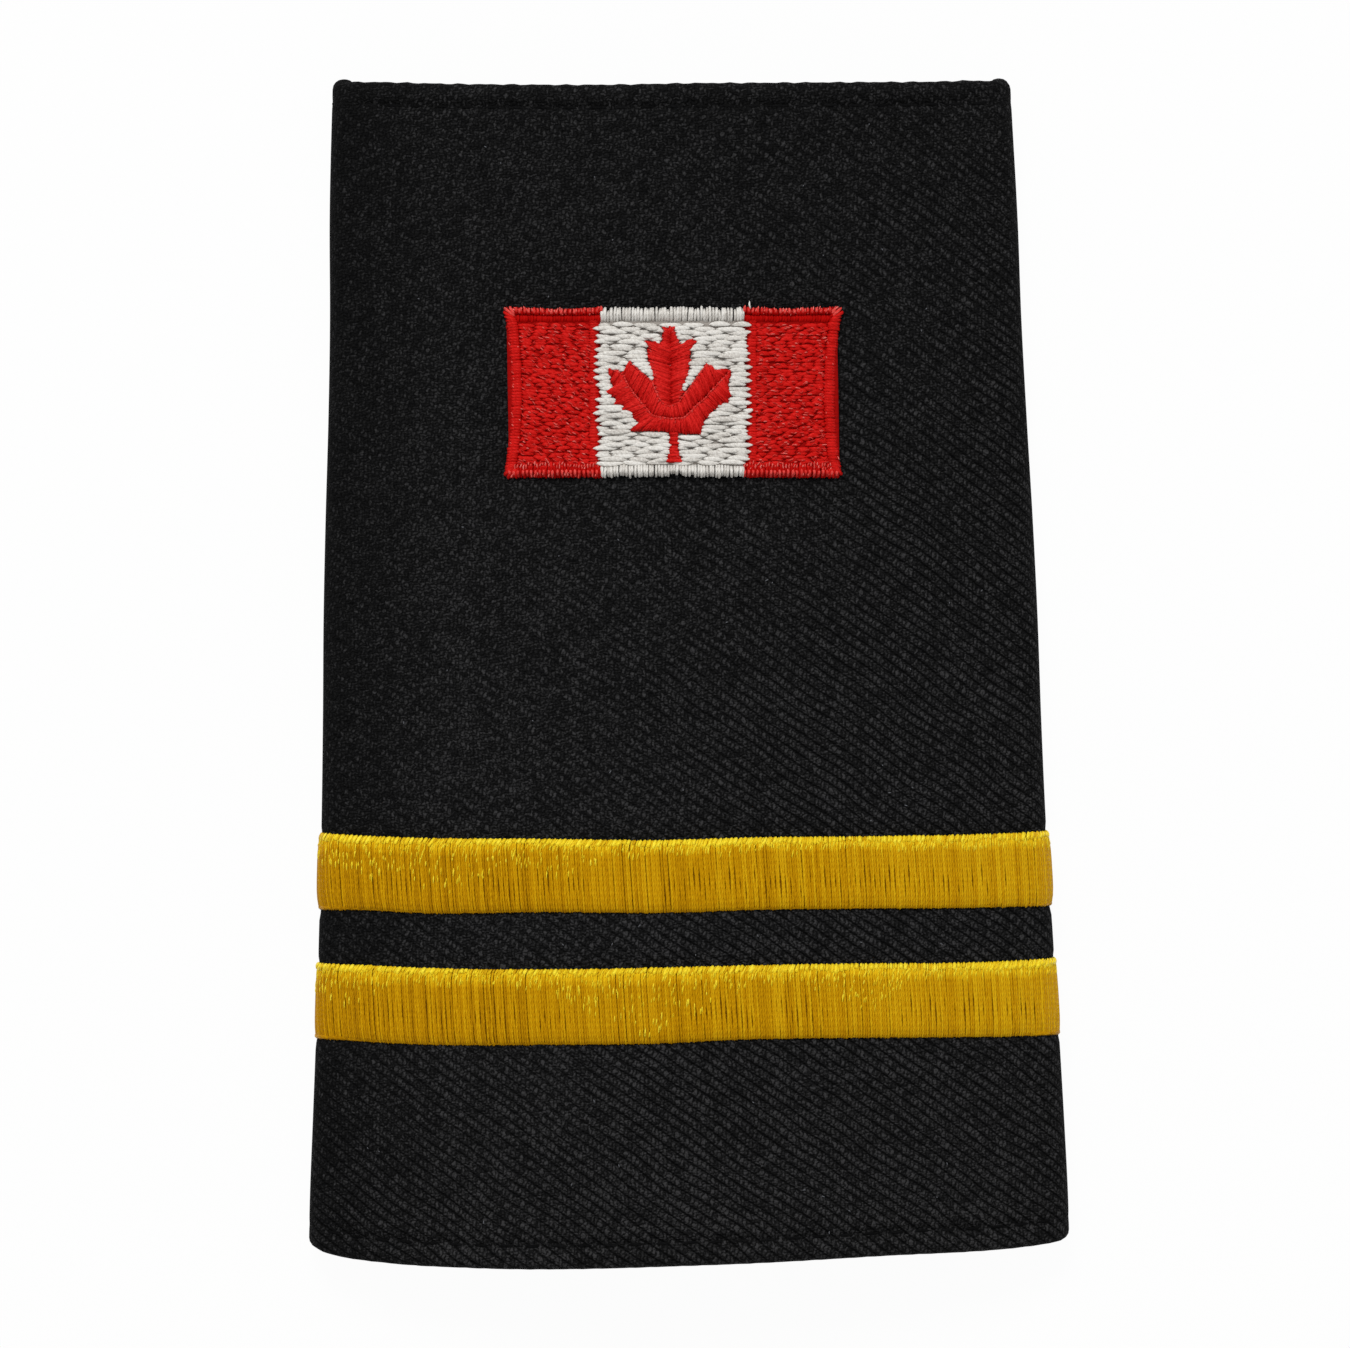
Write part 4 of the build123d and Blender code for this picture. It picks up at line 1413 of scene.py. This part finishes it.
# %% The leaf's stitches, from one edge of a part to its other edge
LOBE_LEFT = [
    (0.20, 4.90, 0.05, 5.56), (0.16, 5.00, -0.60, 5.54), (0.16, 3.95, -0.81, 4.25),
    (0.16, 3.55, -1.15, 3.97), (0.16, 3.35, -1.39, 4.40), (0.16, 3.15, -2.06, 4.45),
    (0.16, 2.60, -1.96, 3.20), (0.16, 1.80, -1.77, 2.44), (0.16, 1.00, -1.58, 1.67),
    (0.16, 0.30, -1.43, 1.00), (0.16, -0.40, -1.25, 0.10), (0.16, -1.00, -0.75, -0.75),
]
LOBE_RIGHT = [
    (-0.14, 4.90, -0.02, 5.56), (-0.10, 5.00, 0.29, 5.54), (-0.10, 3.95, 0.67, 4.45),
    (-0.06, 3.70, 1.10, 4.11), (-0.06, 3.50, 1.86, 4.64), (-0.06, 3.35, 2.25, 4.45),
    (-0.06, 3.05, 1.77, 3.90), (-0.06, 2.20, 1.67, 2.82), (-0.06, 1.10, 1.48, 1.67),
    (-0.06, 0.60, 1.19, 1.10), (-0.06, -0.20, 1.05, 0.19), (-0.06, -1.00, 0.80, -0.70),
]
UPPER_BAND = [
    (-4.20, 1.55, -3.66, 1.92), (-3.90, 1.30, -3.39, 2.72), (-3.20, 0.33, -2.34, 1.86),
    (-2.25, -0.81, -1.43, 1.10), (-1.58, -1.67, -1.00, -0.20), (-1.00, -1.91, -0.43, -0.86),
    (0.24, -2.06, 0.05, -0.96), (1.10, -1.96, 0.72, -0.62), (1.77, -1.20, 1.20, 0.14),
    (2.63, -0.53, 1.86, 1.10), (3.20, 0.14, 2.40, 1.86), (3.70, 0.65, 2.96, 2.58),
    (4.10, 1.05, 3.30, 2.44), (4.50, 1.50, 3.39, 2.01), (4.88, 1.90, 4.20, 2.01),
]
LOWER_BAND = [
    (-5.00, 1.60, -5.02, 2.10), (-4.92, 1.10, -4.40, 1.98), (-4.73, 0.33, -3.85, 1.72),
    (-5.54, 0.10, -3.55, 1.00), (-4.54, -0.33, -3.20, 0.45), (-4.78, -0.81, -2.90, 0.05),
    (-3.78, -1.00, -2.60, -0.35), (-4.06, -1.29, -2.40, -0.60), (-3.39, -1.39, -2.10, -0.95),
    (-3.01, -2.06, -1.80, -1.30), (-2.63, -2.39, -1.58, -1.60), (-3.30, -3.06, -1.35, -1.72),
    (-1.00, -3.11, -0.60, -1.90), (0.24, -3.20, 0.24, -2.00), (1.30, -3.35, 1.10, -1.90),
    (2.53, -3.35, 1.60, -1.40), (2.72, -2.44, 1.90, -1.05), (3.11, -1.86, 2.30, -0.75),
    (3.78, -1.19, 2.80, -0.35), (4.25, -0.86, 3.20, 0.20), (4.78, -0.72, 3.55, 0.55),
    (5.02, -0.05, 3.90, 0.95), (4.78, 0.43, 4.30, 1.30), (4.85, 1.30, 4.88, 1.90),
]
STEM = [
    (-0.16, -2.90, 0.72, -2.90), (-0.16, -4.06, 0.66, -4.06), (-0.18, -4.80, 0.70, -4.80),
    (-0.42, -5.54, 0.95, -5.54),
]
LEAF_PARTS = [
    dict(stitches=LOBE_LEFT, near=0.08, far=0.28, rise=0.30, glint=0.30, edged=False),
    dict(stitches=LOBE_RIGHT, near=0.10, far=0.28, rise=0.30, glint=0.30, edged=False),
    dict(stitches=STEM, near=0.26, far=0.26, rise=0.24, glint=0.1, edged=False),
    dict(stitches=UPPER_BAND, near=0.40, far=0.34, rise=0.20, glint=0.30, edged=True),
    dict(stitches=LOWER_BAND, near=0.36, far=0.42, rise=0.20, glint=0.25, edged=True),
]


# %% Sew the leaf
def pointed(place):
    """Each listed stitch four times, a little longer at both ends, for sharp points on the leaf."""
    rows = np.repeat(place, 4, axis=0)
    step = rows[:, 2:] - rows[:, :2]
    step = step / np.linalg.norm(step, axis=1)[:, None] * 0.14
    rows = np.concatenate([rows[:, :2] - step, rows[:, 2:] + step], axis=1)
    return rows + dice.normal(0, 0.035, rows.shape)


def edge_line(rows, chance):
    """Strands end to end along the second ends of a part's stitches, some of them left out, painted as a
    highlight line.
    """
    edge = rows[:, 2:] + (rows[:, :2] - rows[:, 2:]) * 0.05
    line = np.concatenate([edge[:-1], edge[1:]], axis=1)
    return on_front(line[dice.random(len(line)) < chance])


def part_layers(stitches, near, far, rise, glint, edged):
    """One part of the leaf. near and far are the heights of the two ends of its stitches, rise is how
    far they bulge between, glint is the chance of a painted glint, and edged parts get a painted
    highlight along their edge. Its padding strands are coloured dark as painted shade."""
    place = np.array(stitches) + (*LEAF_MIDDLE, *LEAF_MIDDLE)
    rows = between(place, pitch=0.20, jitter=0.01)
    under = satin(rows, RED_PADDING_SHADE, width=0.42, thick=0.12, base=near - 0.14, rise=rise - 0.04,
                  far=far - 0.14)
    rows = between(place, pitch=0.15)
    wide, bulge = dice.uniform(0.17, 0.27, len(rows)), rise + dice.normal(0, 0.03, len(rows))
    over = satin(rows, RED_LEAF, width=wide, thick=0.12, base=near, rise=bulge, far=far, peak=0.6)
    tips = sew(GRAIN, on_front(pointed(place)), width=0.26, thick=0.13, base=near, rise=rise, far=far,
               peak=0.6)
    shine = on_front(glints(rows, part=(0.66, 0.92), long=0.42, chance=glint))
    fibres = sew(FIBRE, shine, width=0.09, thick=0.07, base=far + rise * 0.6 + 0.08, rise=0.04)
    layers = [under, over, (tips, RED_LEAF), (fibres, RED_HIGHLIGHT)]
    if edged:
        edge = between(place, pitch=0.30, jitter=0.02)
        for chance, wide, thread in ((0.95, 0.16, RED_HIGHLIGHT), (0.35, 0.09, RED_GLINT)):
            line = edge_line(edge, chance)
            line = sew(FIBRE, line, width=wide, thick=0.07, base=far + 0.20, rise=0.02)
            layers.append((line, thread))
    return layers


leaf = [layer for part in LEAF_PARTS for layer in part_layers(**part)]
embroidered("embroidered_leaf", "red_thread", ["flag_leaf"], leaf)

# %% [markdown]
# ## Lint
# Black cloth shows every speck. A few dozen short pale fibres lie on the front, each about as thick as
# a hair, and placed by a seeded draw so that each run is the same.

# %% Scatter the lint
LINT_COUNT = 75
LINT_X, LINT_LOW, LINT_HIGH = 30.0, -47.0, 46.0
LINT_EDGE = 27.0
CLEAR_FLAG, CLEAR_BAR = 0.8, 3.9


def lint():
    """Short fibres at random places on the front, off the bars and the flag."""
    x = dice.uniform(-LINT_X, LINT_X, LINT_COUNT)
    y = dice.uniform(LINT_LOW, LINT_HIGH, LINT_COUNT)
    across = np.abs(x - (FLAG_LEFT + FLAG_RIGHT) / 2) < 15
    on_flag = across & (y > FLAG_BOTTOM - CLEAR_FLAG) & (y < FLAG_TOP + CLEAR_FLAG)
    on_bar = [np.abs(y - bar_line(bar, x)) < CLEAR_BAR for bar in (0, 1)]
    kept = ~on_flag & ~on_bar[0] & ~on_bar[1] & (np.abs(x) < LINT_EDGE)
    x, y = x[kept], y[kept]
    turn, half = dice.uniform(0, np.pi, len(x)), dice.uniform(0.06, 0.16, len(x))
    along, up = half * np.cos(turn), half * np.sin(turn)
    ends = np.stack([x - along, y - up, x + along, y + up], axis=1)
    return sew(FIBRE, on_front(ends), width=0.09, thick=0.06, base=0.01, rise=0.03, power=2.0)


embroidered("lint_specks", "white_thread", (), [(lint(), LINT)])

# %% [markdown]
# ## Floor, light and camera
# The slide lies on a plain white surface under soft light. One wide light stands past the narrow end,
# and the pale surroundings fill in from everywhere else, so the stitches catch light along their upper
# edges, where painted highlights add to it. The surface glows a little, which keeps the slide's shadow
# faint. The camera looks straight down.

# %% Floor
FLOOR_SIZE = 4.0  # metres
FLOOR_Z = -0.02
FLOOR_GLOW = 0.96
deselect()
bpy.ops.mesh.primitive_plane_add(size=FLOOR_SIZE, location=(0, 0, FLOOR_Z * MM))
floor = bpy.context.active_object
floor.name = "floor"
GREY = (0.03, 0.03, 0.03)
floor_material, floor_shader = new_material("white_surface", GREY, roughness=0.9, specular=0.0)
floor_shader.inputs["Emission Color"].default_value = (1, 1, 1, 1)
floor_shader.inputs["Emission Strength"].default_value = FLOOR_GLOW
floor.data.materials.append(floor_material)

# %% Light and surroundings
LIGHT_PLACE = (-0.12, 0.66, 0.74)
LIGHT_SIZE, LIGHT_POWER = 0.35, 6.2  # metres and watts
SURROUNDINGS = 0.55
bpy.ops.object.light_add(type="AREA", location=LIGHT_PLACE)
light = bpy.context.active_object
light.name = "key"
light.data.shape = "SQUARE"
light.data.size = LIGHT_SIZE
light.data.energy = LIGHT_POWER
light.rotation_euler = (-Vector(LIGHT_PLACE)).to_track_quat("-Z", "Y").to_euler()
world = bpy.data.worlds.new("studio")
bpy.context.scene.world = world
world.use_nodes = True
world.node_tree.nodes["Background"].inputs["Color"].default_value = (1, 1, 1, 1)
world.node_tree.nodes["Background"].inputs["Strength"].default_value = SURROUNDINGS

# %% Camera
CAMERA_X, CAMERA_Y, CAMERA_HEIGHT = -1.15, -0.32, 479.0
camera_place = (CAMERA_X * MM, CAMERA_Y * MM, CAMERA_HEIGHT * MM)
bpy.ops.object.camera_add(location=camera_place, rotation=(0, 0, 0))
camera = bpy.context.active_object
camera.data.lens = 150
camera.data.sensor_width = 36
camera.data.clip_start = 0.01
bpy.context.scene.camera = camera
bpy.context.scene.view_settings.view_transform = "Standard"
